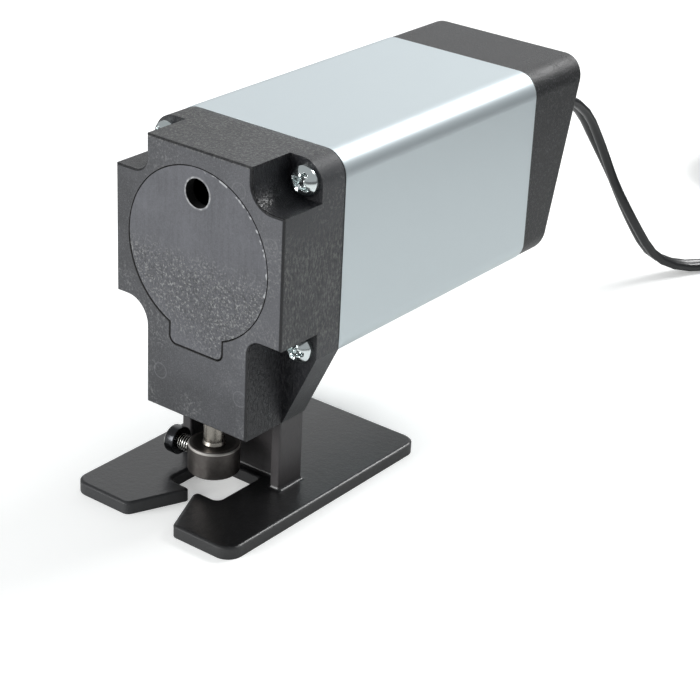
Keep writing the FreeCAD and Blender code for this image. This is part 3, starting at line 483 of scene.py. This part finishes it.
exit_point = Vector(fall[0])
leave = (Vector(fall[1]) - exit_point).normalized()
relief_rings = [(3.6, -3.8), (3.9, -3.5), (3.9, 0), (RELIEF_FLANGE_R - 0.2, 0),
                (RELIEF_FLANGE_R, 0.2), (RELIEF_FLANGE_R, 1.1), (RELIEF_FLANGE_R - 0.12, 1.38),
                (RELIEF_FLANGE_R - 0.4, RELIEF_FLANGE_T), (RELIEF_R + 0.35, RELIEF_FLANGE_T)]
relief_rings += [relief_tail_ring(RELIEF_FLANGE_T + 0.25 + i * 0.16) for i in range(112)]
relief_rings += [(RELIEF_TIP_R - 0.1, RELIEF_L - 0.12), (RELIEF_TIP_R - 0.4, RELIEF_L)]
relief = shown("strain_bush", as_mesh(skin(turned(
    relief_rings, facing(exit_point - leave * RELIEF_L, leave), 72)), "strain_bush",
    math.radians(45)), "saw")
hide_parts("strain_relief")
print("strain relief:", len(relief.data.polygons), "faces")

# %% [markdown]
# ## Plug
# The plug swells from the flex to a soft-cornered block, and shallow ribs on both broad sides
# give a grip. Its two flat blades are drilled near their tips.

# %% Plug and blades
plug_low, plug_high = (Vector(corner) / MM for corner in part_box("mains_plug"))
blades_low, blades_high = (Vector(corner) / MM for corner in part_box("plug_blades"))


def plug_rows(low, high, around=56):
    """Rounded sections from the flex's end to the face that carries the blades."""
    length = high.y - low.y
    half_w, half_t = (high.x - low.x) / 2, (high.z - low.z) / 2
    middle = (low + high) / 2
    rows = []
    for i in range(111):
        y = length * i / 110
        swell = ease(y / 11.0)
        rim = 0.8 * (1 - ease((length - y) / 0.9)) ** 2 + 0.5 * (1 - ease(y / 0.8)) ** 2
        wide = 3.3 + (half_w - 3.3) * swell - rim
        thick = 2.7 + (half_t - 2.7) * ease(y / 9.0) - rim
        power = 2 / (2.2 + 2.6 * swell)
        rib = 0.4 * ease((abs((y - 11.5) / 1.5 % 1.0 - 0.5) - 0.2) / 0.15) if 11.5 < y < 19 else 0
        row = []
        for k in range(around):
            c, s = math.cos(2 * math.pi * k / around), math.sin(2 * math.pi * k / around)
            x = math.copysign(abs(c) ** power, c) * wide
            z = math.copysign(abs(s) ** power, s) * (thick - rib * ease((abs(s) - 0.75) / 0.15))
            row.append(Vector((middle.x + x, low.y + y, middle.z + z)) * MM)
        rows.append(row)
    return rows


def blade(shape, low, high, hole_y, hole_r):
    """One flat blade between two corners, drilled through and cut off at its front corners."""
    cut = 1.0
    outline = []
    for y, z in ((low.y, low.z), (high.y - cut, low.z), (high.y, low.z + cut),
                 (high.y, high.z - cut), (high.y - cut, high.z), (low.y, high.z)):
        if outline:
            y0, z0 = outline[-1]
            outline += [(y0 + (y - y0) * i / 8, z0 + (z - z0) * i / 8) for i in range(1, 8)]
        outline.append((y, z))
    centre_z = (low.z + high.z) / 2
    hole = []
    for y, z in outline:
        angle = math.atan2(z - centre_z, y - hole_y)
        hole.append((hole_y + hole_r * math.cos(angle), centre_z + hole_r * math.sin(angle)))
    rows = [[Vector((x, y, z)) * MM for y, z in ring]
            for x, ring in ((low.x, hole), (low.x, outline), (high.x, outline), (high.x, hole))]
    skin(rows, shape, loop=True)


plug = shown("moulded_plug", as_mesh(skin(plug_rows(plug_low, plug_high)), "moulded_plug",
                                     math.radians(60)), "saw")
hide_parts("mains_plug")
pair = bmesh.new()
for x in (blades_low.x, blades_high.x - 1.5):
    blade(pair, Vector((x, blades_low.y, blades_low.z)),
          Vector((x + 1.5, blades_high.y, blades_high.z)), blades_high.y - 4.2, 1.6)
blades = shown("drilled_blades", as_mesh(pair, "drilled_blades"), "saw")
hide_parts("plug_blades")
print("plug", len(plug.data.polygons), "faces, blades", len(blades.data.polygons))

# %% [markdown]
# ## Shader maths
# Every finish below is worked out from the piece's own coordinates. Two small classes keep that
# readable. `Value` wraps an output socket, so that a sum or product of values adds its Math
# nodes by itself. `Finish` holds one material: it takes any node by type, settings and inputs,
# and offers the few patterns that come back again and again.

# %% Values and finishes
class Value:
    """A number that changes over a surface."""

    def __init__(self, finish, socket):
        self.finish, self.socket = finish, socket

    def math(self, operation, first, second=None):
        inputs = {0: first} if second is None else {0: first, 1: second}
        return self.finish.node("ShaderNodeMath", {"operation": operation}, inputs)

    def __add__(self, other):
        return self.math("ADD", self, other)

    def __radd__(self, other):
        return self.math("ADD", other, self)

    def __sub__(self, other):
        return self.math("SUBTRACT", self, other)

    def __rsub__(self, other):
        return self.math("SUBTRACT", other, self)

    def __mul__(self, other):
        return self.math("MULTIPLY", self, other)

    def __rmul__(self, other):
        return self.math("MULTIPLY", other, self)

    def __pow__(self, other):
        return self.math("POWER", self, other)

    def __abs__(self):
        return self.math("ABSOLUTE", self)

    def root(self):
        return self.math("SQRT", self)

    def least(self, other):
        return self.math("MINIMUM", self, other)

    def most(self, other):
        return self.math("MAXIMUM", self, other)


def colour(code):
    """Linear colour from a six-digit hex code."""
    parts = [int(code[i:i + 2], 16) / 255 for i in (0, 2, 4)]
    linear = [c / 12.92 if c <= 0.04045 else ((c + 0.055) / 1.055) ** 2.4 for c in parts]
    return (*linear, 1.0)


class Finish:
    """One material, made from the piece's own coordinates in millimetres."""

    def __init__(self, name, base, roughness, metallic=0.0, material=None, **fixed):
        self.material = material or bpy.data.materials.new(name)
        self.material.use_nodes = True
        self.tree = self.material.node_tree
        self.shader = self.tree.nodes["Principled BSDF"]
        self.set("Base Color", colour(base) if isinstance(base, str) else base)
        self.set("Roughness", roughness)
        self.set("Metallic", metallic)
        for key, value in fixed.items():
            self.set(key.replace("_", " ").title().replace("Ior", "IOR"), value)
        coordinates = self.tree.nodes.new("ShaderNodeTexCoord")
        self.place = self.node("ShaderNodeVectorMath", {"operation": "SCALE"},
                               {0: Value(self, coordinates.outputs["Object"]), "Scale": 1 / MM})

    def set(self, socket, value):
        self.feed(self.shader.inputs[socket], value)

    def feed(self, socket, value):
        if isinstance(value, Value):
            self.tree.links.new(value.socket, socket)
        else:
            socket.default_value = value

    def node(self, kind, settings=None, inputs=None, output=0):
        made = self.tree.nodes.new(kind)
        for key, value in (settings or {}).items():
            setattr(made, key, value)
        for key, value in (inputs or {}).items():
            self.feed(made.inputs[key], value)
        return Value(self, made.outputs[output])

    def axes(self):
        """The three coordinates in millimetres, as values."""
        return [self.node("ShaderNodeSeparateXYZ", None, {0: self.place}, i) for i in range(3)]

    def stretched(self, x, y, z):
        """Coordinates squeezed by a factor along each axis, for drawn-out patterns."""
        return self.node("ShaderNodeVectorMath", {"operation": "MULTIPLY"},
                         {0: self.place, 1: (x, y, z)})

    def noise(self, size, detail=3.0, rough=0.55, place=None):
        """Soft noise from 0 to 1 with blotches of about that size in millimetres."""
        return self.node("ShaderNodeTexNoise", None, {
            "Vector": place or self.place, "Scale": 1 / size, "Detail": detail,
            "Roughness": rough})

    def between(self, value, low, high, to_low=0.0, to_high=1.0):
        """Smooth step from one number to another as the value goes from low to high."""
        return self.node("ShaderNodeMapRange", {"interpolation_type": "SMOOTHSTEP"}, {
            "Value": value, "From Min": low, "From Max": high, "To Min": to_low, "To Max": to_high})

    def mix(self, factor, first, second):
        """Colour between two others."""
        first, second = (colour(c) if isinstance(c, str) else c for c in (first, second))
        return self.node("ShaderNodeMix", {"data_type": "RGBA"}, {0: factor, 6: first, 7: second}, 2)

    def relief(self, height, depth, edge=0.0):
        """Bump the surface by height times depth, in millimetres, with its edges eased."""
        inputs = {"Height": height, "Distance": depth * MM, "Strength": 1.0}
        if edge:
            inputs["Normal"] = self.node("ShaderNodeBevel", {"samples": 4}, {"Radius": edge * MM})
        self.set("Normal", self.node("ShaderNodeBump", None, inputs))


def dress(finish, *names):
    """Give CAD pieces a finish."""
    for name in names:
        for slot in nodes[name].material_slots:
            slot.material = finish.material


print("finishes can be made")

# %% [markdown]
# ## Moulded nylon
# The front housing, its cover, the foot and the rear cap are black glass-filled nylon. Up close
# it isn't black: the spark-eroded mould leaves a fine grain that scatters light to a mid grey,
# the fibres show as pale specks, and rubbed places turn smoother. One function mixes that grain,
# and each moulding adds what is its own.

# %% Grain of the mouldings
def nylon(name, dark, pale, roughness, grain, depth, edge=0.12, speck="8a8c90", speckled=0.35):
    """A nylon finish with speckled colour, which keeps its patterns at hand for later changes."""
    made = Finish(name, dark, roughness, specular_ior_level=0.5)
    made.grain = made.noise(grain, 4.0, 0.7)
    made.cloudy = made.noise(9.0, 2.0)
    made.specks = made.between(made.noise(grain * 0.8, 2.0, 0.8), 0.54, 0.7)
    tone = made.between(made.grain * 0.6 + made.cloudy * 0.4, 0.35, 0.68)
    made.look = made.mix(made.specks * speckled, made.mix(tone, dark, pale), speck)
    made.set("Base Color", made.look)
    made.relief(made.grain, depth, edge)
    return made


cap_nylon = nylon("cap_nylon", "0b0c0d", "151618", 0.42, 0.4, 0.07, speck="4a4c50", speckled=0.25)
worn = cap_nylon.between(cap_nylon.noise(0.6, 3.0, 0.75), 0.5, 0.66) * cap_nylon.cloudy
cap_nylon.set("Base Color", cap_nylon.mix(worn * 0.6, cap_nylon.look, "6a6c6e"))
cap_nylon.relief(cap_nylon.grain + worn * 1.5, 0.05, 0.12)
dress(cap_nylon, "rear_cap", "switch_body", "switch_rocker", "motor_end_cap")
print("rear cap and switch")

# %% [markdown]
# The cover and the housing meet in a thin dark seam. Both finishes work out the distance to the
# cover's outline, a disc joined with a rounded tab, and darken themselves close to it.

# %% Seam of the cover
cover_low, cover_high = (Vector(corner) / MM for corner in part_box("front_cover"))
FRONT_Y = cover_low.y
COVER_R = (cover_high.x - cover_low.x) / 2
COVER_Z = cover_high.z - COVER_R
TAB_HALF, TAB_CORNER = 8.0, 2.0
HOLE_R, HOLE_Z = 3.5, COVER_Z + COVER_R - 6.05


def off_circle(x, z, centre_z, radius):
    """Distance outside a circle on the middle plane, negative inside it."""
    return (x * x + (z - centre_z) ** 2.0).root() - radius


def off_cover(x, z):
    """Distance outside the cover's outline, negative inside it."""
    tall = (COVER_Z - cover_low.z) / 2
    across = (abs(x) - (TAB_HALF - TAB_CORNER)).most(0.0)
    along = (abs(z - (cover_low.z + tall)) - (tall - TAB_CORNER)).most(0.0)
    off_tab = (across * across + along * along).root() - TAB_CORNER
    return off_circle(x, z, COVER_Z, COVER_R).least(off_tab)


def seam(made, x, z):
    """1 along the seam, wider at the lower left and under the tab, broken a little by noise."""
    apart = abs(off_cover(x, z) - 0.05)
    wide = made.between(z + x * 0.6, 58.0, 44.0, 0.10, 0.26)
    ragged = made.noise(1.2, 2.0) * 0.16 - 0.08
    return made.between(apart + ragged - wide, 0.1, 0.0)


def upper_right_nicks(made, x, z):
    """1 in the pale nicks along the seam's upper right side."""
    near = made.between(abs(off_cover(x, z) + 0.35), 0.35, 0.1)
    nicks = made.between(made.noise(1.6, 3.0), 0.5, 0.62)
    return near * made.between(x + z * 0.4, 30.0, 40.0) * nicks


# %% [markdown]
# The cover's mould was rougher in its lower half: there the grain opens into bright flecks, while
# the upper half is nearly smooth with faint streaks. Its hole's wall is painted black, as shade,
# and its rim is worn.

# %% Front cover
cover_nylon = nylon("cover_nylon", "3b3c40", "515257", 0.5, 0.4, 0.03, speckled=0.12)
x, y, z = cover_nylon.axes()
low_half = cover_nylon.between(z + cover_nylon.cloudy * 6.0, 69.0, 60.0)
band = low_half * cover_nylon.between(z + x * 0.5, 38.0, 50.0, 0.25, 1.0)
flecks = cover_nylon.between(cover_nylon.noise(0.55, 3.0, 0.75), 0.5, 0.66)
pitted = cover_nylon.noise(0.6, 2.0, 0.7, cover_nylon.stretched(1.1, 1, 0.9))
pits = cover_nylon.between(pitted, 0.5, 0.36)
streaks = cover_nylon.noise(1.0, 3.0, 0.6, cover_nylon.stretched(1, 1, 0.12))
look = cover_nylon.mix(streaks * 0.6 - 0.05, cover_nylon.look, "65666c")
look = cover_nylon.mix(band * 0.35, look, "3c3d40")
look = cover_nylon.mix(flecks * band * 0.75, look, "9c9d9c")
look = cover_nylon.mix(pits * band * 0.7, look, "27282a")
rim = off_circle(x, z, HOLE_Z, HOLE_R)
worn = cover_nylon.between(cover_nylon.noise(1.4, 3.0, 0.7), 0.36, 0.6, 0.25, 0.9)
look = cover_nylon.mix(cover_nylon.between(rim, 0.6, 0.12) * worn, look, "a9aaab")
# Pale nicks along the seam, on its upper right side only.
look = cover_nylon.mix(upper_right_nicks(cover_nylon, x, z) * 0.8, look, "aeb0b2")
# Painted shade: every face behind the front face, the hole's wall among them, is painted black;
# along the cover's edge this is the dark joint.
inside = cover_nylon.between(y, FRONT_Y + 0.02, FRONT_Y + 0.1)
dark = seam(cover_nylon, x, z).most(inside)
cover_nylon.set("Base Color", cover_nylon.mix(dark, look, "020202"))
cover_nylon.set("Roughness", 0.5 + dark * 0.5)
cover_nylon.relief(cover_nylon.grain * 0.5 + flecks * band, 0.07, 0.1)
dress(cover_nylon, "front_cover")
print("cover radius", round(COVER_R, 2), "hole at", round(HOLE_Z, 2))

# %% [markdown]
# The housing is paler on its open faces and glossier in the four corner pockets, where the mould
# was polished to let it go; the pockets are also painted dark, as shade. Its front edges are
# painted crisp and dark, as shade, and four ejector pins left faint rings on the front face.

# %% Front housing
housing_low, housing_high = (Vector(corner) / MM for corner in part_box("front_housing"))
POCKET_X, POCKET_Y = 15.4, tie_low.y + TIE_HEAD_H
SLEEVE_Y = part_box("sleeve")[0][1] / MM

housing_nylon = nylon("housing_nylon", "303134", "48494d", 0.5, 0.45, 0.05, speckled=0.3)
x, y, z = housing_nylon.axes()
beside = housing_nylon.between(abs(x), POCKET_X - 0.1, POCKET_X - 0.02)
above = housing_nylon.between(abs(z - axis_z), 15.75, 15.85)
ahead = housing_nylon.between(y, POCKET_Y + 0.3, POCKET_Y + 0.1)
pocket_shade_and_gloss = beside * above * ahead * housing_nylon.between(y, FRONT_Y + 0.1, FRONT_Y + 0.4)
# Painted shade: the chamfers of the front edges and the faces just behind them go nearly black.
chamfer_shade = housing_nylon.between(y, FRONT_Y + 0.04, FRONT_Y + 0.12) * \
    housing_nylon.between(y, FRONT_Y + 0.9, FRONT_Y + 0.6)
sides = housing_nylon.between(y, FRONT_Y + 0.5, FRONT_Y + 0.6)
# Painted light and shade on the front: darker at the left and low down, paler to the right.
across = housing_nylon.between(x, -26.0, 26.0)
neck_shade = housing_nylon.between(z, 38.0, 28.0)
look = housing_nylon.mix((1 - across) * 0.35 + neck_shade * 0.25, housing_nylon.look, "1c1d1f")
look = housing_nylon.mix(across * (1 - neck_shade * 0.6) * 0.35, look, "606166")
# Painted light: the faces behind the front get a warmer tone of their own, set to how they are lit.
look = housing_nylon.mix(sides * 0.45, look, "363837")
blotch = housing_nylon.between(housing_nylon.noise(0.7, 3.0, 0.7), 0.5, 0.68)
patch = housing_nylon.between(housing_nylon.noise(12.0, 1.0), 0.42, 0.62)
look = housing_nylon.mix(blotch * patch * 0.45, look, "7d7e7e")
top = housing_nylon.between(z, housing_high.z - 0.9, housing_high.z - 0.4)
ear = sides * housing_nylon.between(abs(x), housing_high.x - 0.3, housing_high.x - 0.1) * \
    housing_nylon.between(z, 38.0, 50.0) * housing_nylon.between(z, 78.0, 66.0)
drawn = housing_nylon.noise(0.55, 3.0, 0.75, housing_nylon.stretched(1, 1, 0.45))
flecks = housing_nylon.between(drawn, 0.5, 0.64)
# Pale flecks: grain on the top, and on the ears' outer sides also a painted speckled highlight.
look = housing_nylon.mix(flecks * (top * 0.5 + ear * 0.45), look, "8f908b")
hollows = housing_nylon.between(drawn, 0.46, 0.34)
look = housing_nylon.mix(hollows * (top + ear) * 0.6, look, "1a1a1a")
for place in ((12.0, 82.5), (21.5, 72.0), (13.5, 32.0), (-11.0, 31.0)):
    ring = abs(((x - place[0]) ** 2.0 + (z - place[1]) ** 2.0).root() - 1.9)
    mark = housing_nylon.between(ring, 0.22, 0.05) * (1 - sides)
    look = housing_nylon.mix(mark * 0.35, look, "6d6e71")
# Painted shade: the corner pockets are painted darker.
look = housing_nylon.mix(pocket_shade_and_gloss * (1 - flecks * 0.2), look, "1a1b1f")
look = housing_nylon.mix(chamfer_shade * 0.85, look, "08080a")
joint = housing_nylon.between(y, SLEEVE_Y - 0.4, SLEEVE_Y - 0.2)
look = housing_nylon.mix(joint * 0.9, look, "050505")
dark = seam(housing_nylon, x, z) * (1 - chamfer_shade)
inner = housing_nylon.between(off_cover(x, z), 0.18, 0.1)
behind = housing_nylon.between(y, FRONT_Y + 0.02, FRONT_Y + 0.1)
look = housing_nylon.mix(dark.most(inner * behind), look, "020202")
housing_nylon.set("Base Color", look)
housing_nylon.set("Roughness", 0.5 - pocket_shade_and_gloss * 0.16 - chamfer_shade * 0.1)
rough = blotch * 0.6 + flecks * (top + ear + pocket_shade_and_gloss * 1.6)
housing_nylon.relief(housing_nylon.grain + rough, 0.06, 0.12)
dress(housing_nylon, "front_housing", "motor_cradle")
print("housing from", [round(v, 1) for v in housing_low], "to", [round(v, 1) for v in housing_high])

# %% [markdown]
# The foot's flat top is nearly polished; the legs and its edges are duller. The legs and edges are
# also painted paler as light, and the top's left half paler as a painted reflection.

# %% Foot
foot_nylon = nylon("foot_nylon", "0d0d0e", "151516", 0.3, 0.5, 0.02, speckled=0.06)
x, y, z = foot_nylon.axes()
# Painted light: the legs and the sole's edges are painted paler than the top.
upright = foot_nylon.between(z, 3.3, 4.6)
edges = foot_nylon.between(z, 3.05, 2.7)
look = foot_nylon.mix(upright * 0.8, foot_nylon.look, "3f3c3d")
look = foot_nylon.mix(edges * 0.5, look, "2c2c2d")
# Painted reflection: the top's left half is paler, where it mirrors the bright surroundings.
look = foot_nylon.mix(foot_nylon.between(x, 2.0, -4.0) * 0.4, look, "2e2f31")
foot_nylon.set("Base Color", look)
foot_nylon.set("Roughness", 0.3 + upright * 0.12 + edges * 0.2)
foot_nylon.set("Specular IOR Level", 0.6)
peel = foot_nylon.noise(1.3, 3.0, 0.6)
foot_nylon.relief(foot_nylon.grain * 0.4 + peel, 0.06, 0.12)
dress(foot_nylon, "foot")
print("foot done")

# %% [markdown]
# ## Metals
# The sleeve is satin-anodised aluminium: nearly mirror-free, with a very fine even grain. The
# plunger is ground steel, the collar is blackened and rubbed bright on its rim, and the screws
# are zinc plated.

# %% Metal finishes
def metal(name, base, roughness, grain, depth, stretch=(1, 1, 1), **fixed):
    """A metal whose roughness and surface wander a little with a fine grain."""
    made = Finish(name, base, roughness, 1.0, **fixed)
    made.grain = made.noise(grain, 3.0, 0.6, made.stretched(*stretch))
    made.set("Roughness", made.between(made.grain, 0.2, 0.8, roughness * 0.85, roughness * 1.15))
    made.relief(made.grain, depth)
    return made


satin_aluminium = metal("satin_aluminium", "cfd8db", 0.46, 0.12, 0.003)
ground_steel = metal("ground_steel", "a5a098", 0.27, 0.4, 0.001, (1, 1, 0.1))
gunmetal = metal("gunmetal", "77726e", 0.38, 0.25, 0.006, (1, 1, 0.3))
zinc = metal("zinc_plate", "e2eaea", 0.17, 0.6, 0.001, material=zinc_plate)
black_oxide = metal("black_oxide", "444446", 0.24, 0.3, 0.004)
bronze = metal("sintered_bronze", "8c6a42", 0.45, 0.2, 0.01)
brass = metal("brass", "c9a54e", 0.28, 0.5, 0.003)
motor_steel = metal("motor_steel", "8f9294", 0.4, 0.5, 0.004)
copper = metal("enamelled_copper", "b0652f", 0.3, 0.35, 0.03, (1, 0.1, 1))
dress(satin_aluminium, "sleeve")
dress(ground_steel, "plunger", "motor_shaft", "crank_pin", "yoke_pin")
dress(gunmetal, "crank_disc", "crank_roller", "yoke")

# The collar's top edge is painted bright, as a highlight, and its top face round the plunger is
# painted dark, as shade and as the dark housing reflected in it.
collar_steel = metal("collar_steel", "6f6b68", 0.38, 0.25, 0.006, (1, 1, 0.3))
collar_low, collar_high = (Vector(corner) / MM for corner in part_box("blade_collar"))
x, y, z = collar_steel.axes()
centre_y, collar_r = (collar_low.y + collar_high.y) / 2, (collar_high.x - collar_low.x) / 2
out = (x * x + (y - centre_y) ** 2.0).root()
bevel_highlight = collar_steel.between(out, collar_r - 0.3, collar_r - 0.18) * \
    collar_steel.between(z, collar_high.z - 0.75, collar_high.z - 0.6)
# Painted shade and reflection on the top face round the plunger.
recess = collar_steel.between(out, collar_r - 0.9, collar_r - 1.4) * \
    collar_steel.between(z, collar_high.z - 0.4, collar_high.z - 0.2)
stain = collar_steel.mix(collar_steel.noise(1.6, 4.0, 0.7), "5a5552", "827e7b")
look = collar_steel.mix(recess * 0.55, stain, "1d1c1b")
collar_steel.set("Base Color", collar_steel.mix(bevel_highlight, look, "d6d2cc"))
dress(collar_steel, "blade_collar")
dress(zinc, "foot_screws")
dress(black_oxide, "crank_screw", "motor_screws")
clamp_steel = metal("clamp_steel", "3c3d3f", 0.22, 0.3, 0.002)
x, y, z = clamp_steel.axes()
out = ((y - clamp_seat[1]) ** 2.0 + (z - clamp_seat[2]) ** 2.0).root()
# Painted highlight on the thread's crests and the head's rim.
crest = clamp_steel.between(out, M4_R - 0.14, M4_R - 0.04) * \
    clamp_steel.between(x, clamp_seat[0], clamp_seat[0] + 0.1)
head_rim_highlight = clamp_steel.between(out, CLAMP_HEAD_R - 0.4, CLAMP_HEAD_R - 0.25) * \
    clamp_steel.between(x, clamp_low.x + 0.35, clamp_low.x + 0.25)
# Painted shade in the thread's roots.
root = clamp_steel.between(out, M4_R, M4_R - 0.2)
look = clamp_steel.mix(root, "3c3d3f", "0b0b0c")
clamp_steel.set("Base Color", clamp_steel.mix(crest.most(head_rim_highlight * 0.6), look, "e4e4df"))
clamp.data.materials.append(clamp_steel.material)
dress(bronze, "lower_bush", "upper_bush", "motor_front_bearing", "motor_rear_bearing")
dress(brass, "motor_terminals", "commutator")
blades.data.materials.append(brass.material)
dress(motor_steel, "motor_can", "rotor_core")
dress(copper, "rotor_windings")
print("metals done")

# %% [markdown]
# ## Soft and small pieces

# %% Plastics, felt and carbon
pvc = Finish("flex_pvc", "141516", 0.28, specular_ior_level=0.5)
pvc.relief(pvc.noise(1.5, 2.0), 0.03)
felt = Finish("felt", "8d8a7c", 0.95)
felt.relief(felt.noise(0.3, 5.0), 0.2)
carbon = Finish("carbon", "232324", 0.6)
carbon.relief(carbon.noise(0.3, 4.0), 0.03)
ceramic = Finish("ceramic", "b07a35", 0.35)
ceramic.relief(ceramic.noise(1.0, 2.0), 0.03)
fibre = Finish("fibre", "6b3f2a", 0.7)
fibre.relief(fibre.noise(0.3, 3.0), 0.03)
for piece in (flex, relief, plug):
    piece.data.materials.append(pvc.material)
dress(felt, "oil_felt")
dress(carbon, "carbon_brushes", "motor_magnets")
dress(ceramic, "suppressor")
dress(fibre, "thrust_washers")
print("small finishes done")

# %% Flex
print("flex finished")

# %% [markdown]
# ## Floor and light
# A pale floor runs out of sight under a white surround, and big soft lamps light the saw. Far out
# the floor is darker, so that metal and gloss pick up less of it. The camera sees it white there,
# by emission that no other ray sees.

# %% Floor
FLOOR_NEAR, FLOOR_FAR = 250.0, 420.0


def pale_floor(size):
    """Floor, darker beyond FLOOR_NEAR to FLOOR_FAR except to the camera."""
    shape = bmesh.new()
    bmesh.ops.create_grid(shape, x_segments=1, y_segments=1, size=size)
    mesh = bpy.data.meshes.new("floor")
    shape.to_mesh(mesh)
    shape.free()
    floor = bpy.data.objects.new("floor", mesh)
    bpy.context.scene.collection.objects.link(floor)
    paper = Finish("floor_paper", "f6f7f6", 0.9)
    x, y, _ = paper.axes()
    far = paper.between((x * x + y * y).root(), FLOOR_NEAR, FLOOR_FAR)
    paper.set("Base Color", paper.mix(far, "f6f7f6", "5c5d5f"))
    paper.relief(paper.noise(40.0, 2.0), 0.05)
    seen = paper.node("ShaderNodeLightPath", output="Is Camera Ray")
    paper.set("Emission Color", paper.mix(seen, "000000", paper.mix(far, "969695", "ffffff")))
    paper.set("Emission Strength", 1.0)
    mesh.materials.append(paper.material)
    return floor


floor = pale_floor(6.0)
print("floor", floor.dimensions.x, "m wide")

# %% World and lamps
def surround(strength):
    """Even light from all round that the camera sees as white; reflections see the light itself."""
    world = bpy.data.worlds.new("surround")
    world.use_nodes = True
    tree = world.node_tree
    dome = tree.nodes["Background"]
    rays = tree.nodes.new("ShaderNodeLightPath")
    white = tree.nodes.new("ShaderNodeBackground")
    white.inputs["Strength"].default_value = 1.0
    white.inputs["Color"].default_value = (1, 1, 1, 1)
    dome.inputs["Color"].default_value = (0.95, 0.975, 1.0, 1)
    dome.inputs["Strength"].default_value = strength
    chosen = tree.nodes.new("ShaderNodeMixShader")
    seen = tree.nodes.new("ShaderNodeMath")
    seen.operation = "MAXIMUM"
    tree.links.new(rays.outputs["Is Camera Ray"], seen.inputs[0])
    tree.links.new(rays.outputs["Is Transmission Ray"], seen.inputs[1])
    tree.links.new(seen.outputs[0], chosen.inputs[0])
    tree.links.new(dome.outputs[0], chosen.inputs[1])
    tree.links.new(white.outputs[0], chosen.inputs[2])
    tree.links.new(chosen.outputs[0], tree.nodes["World Output"].inputs["Surface"])
    bpy.context.scene.world = world


def softbox(name, place, target, size, power, tint=(1, 1, 1)):
    lamp = bpy.data.lights.new(name, "AREA")
    lamp.shape = "RECTANGLE"
    lamp.size, lamp.size_y = size
    lamp.energy = power
    lamp.color = tint
    holder = bpy.data.objects.new(name, lamp)
    holder.location = place
    holder.rotation_euler = (Vector(target) - Vector(place)).to_track_quat("-Z", "Y").to_euler()
    bpy.context.scene.collection.objects.link(holder)
    return holder


surround(0.42)
middle = (0, 0.02, 0.05)
softbox("key", (0.26, 0.92, 0.9), middle, (0.6, 0.28), 9.8)
softbox("back", (-0.75, 1.05, 0.65), middle, (1.2, 1.0), 2.65)
softbox("front", (-0.5, -1.0, 0.32), middle, (0.8, 0.5), 12.5)
bpy.context.scene.view_settings.view_transform = "Standard"
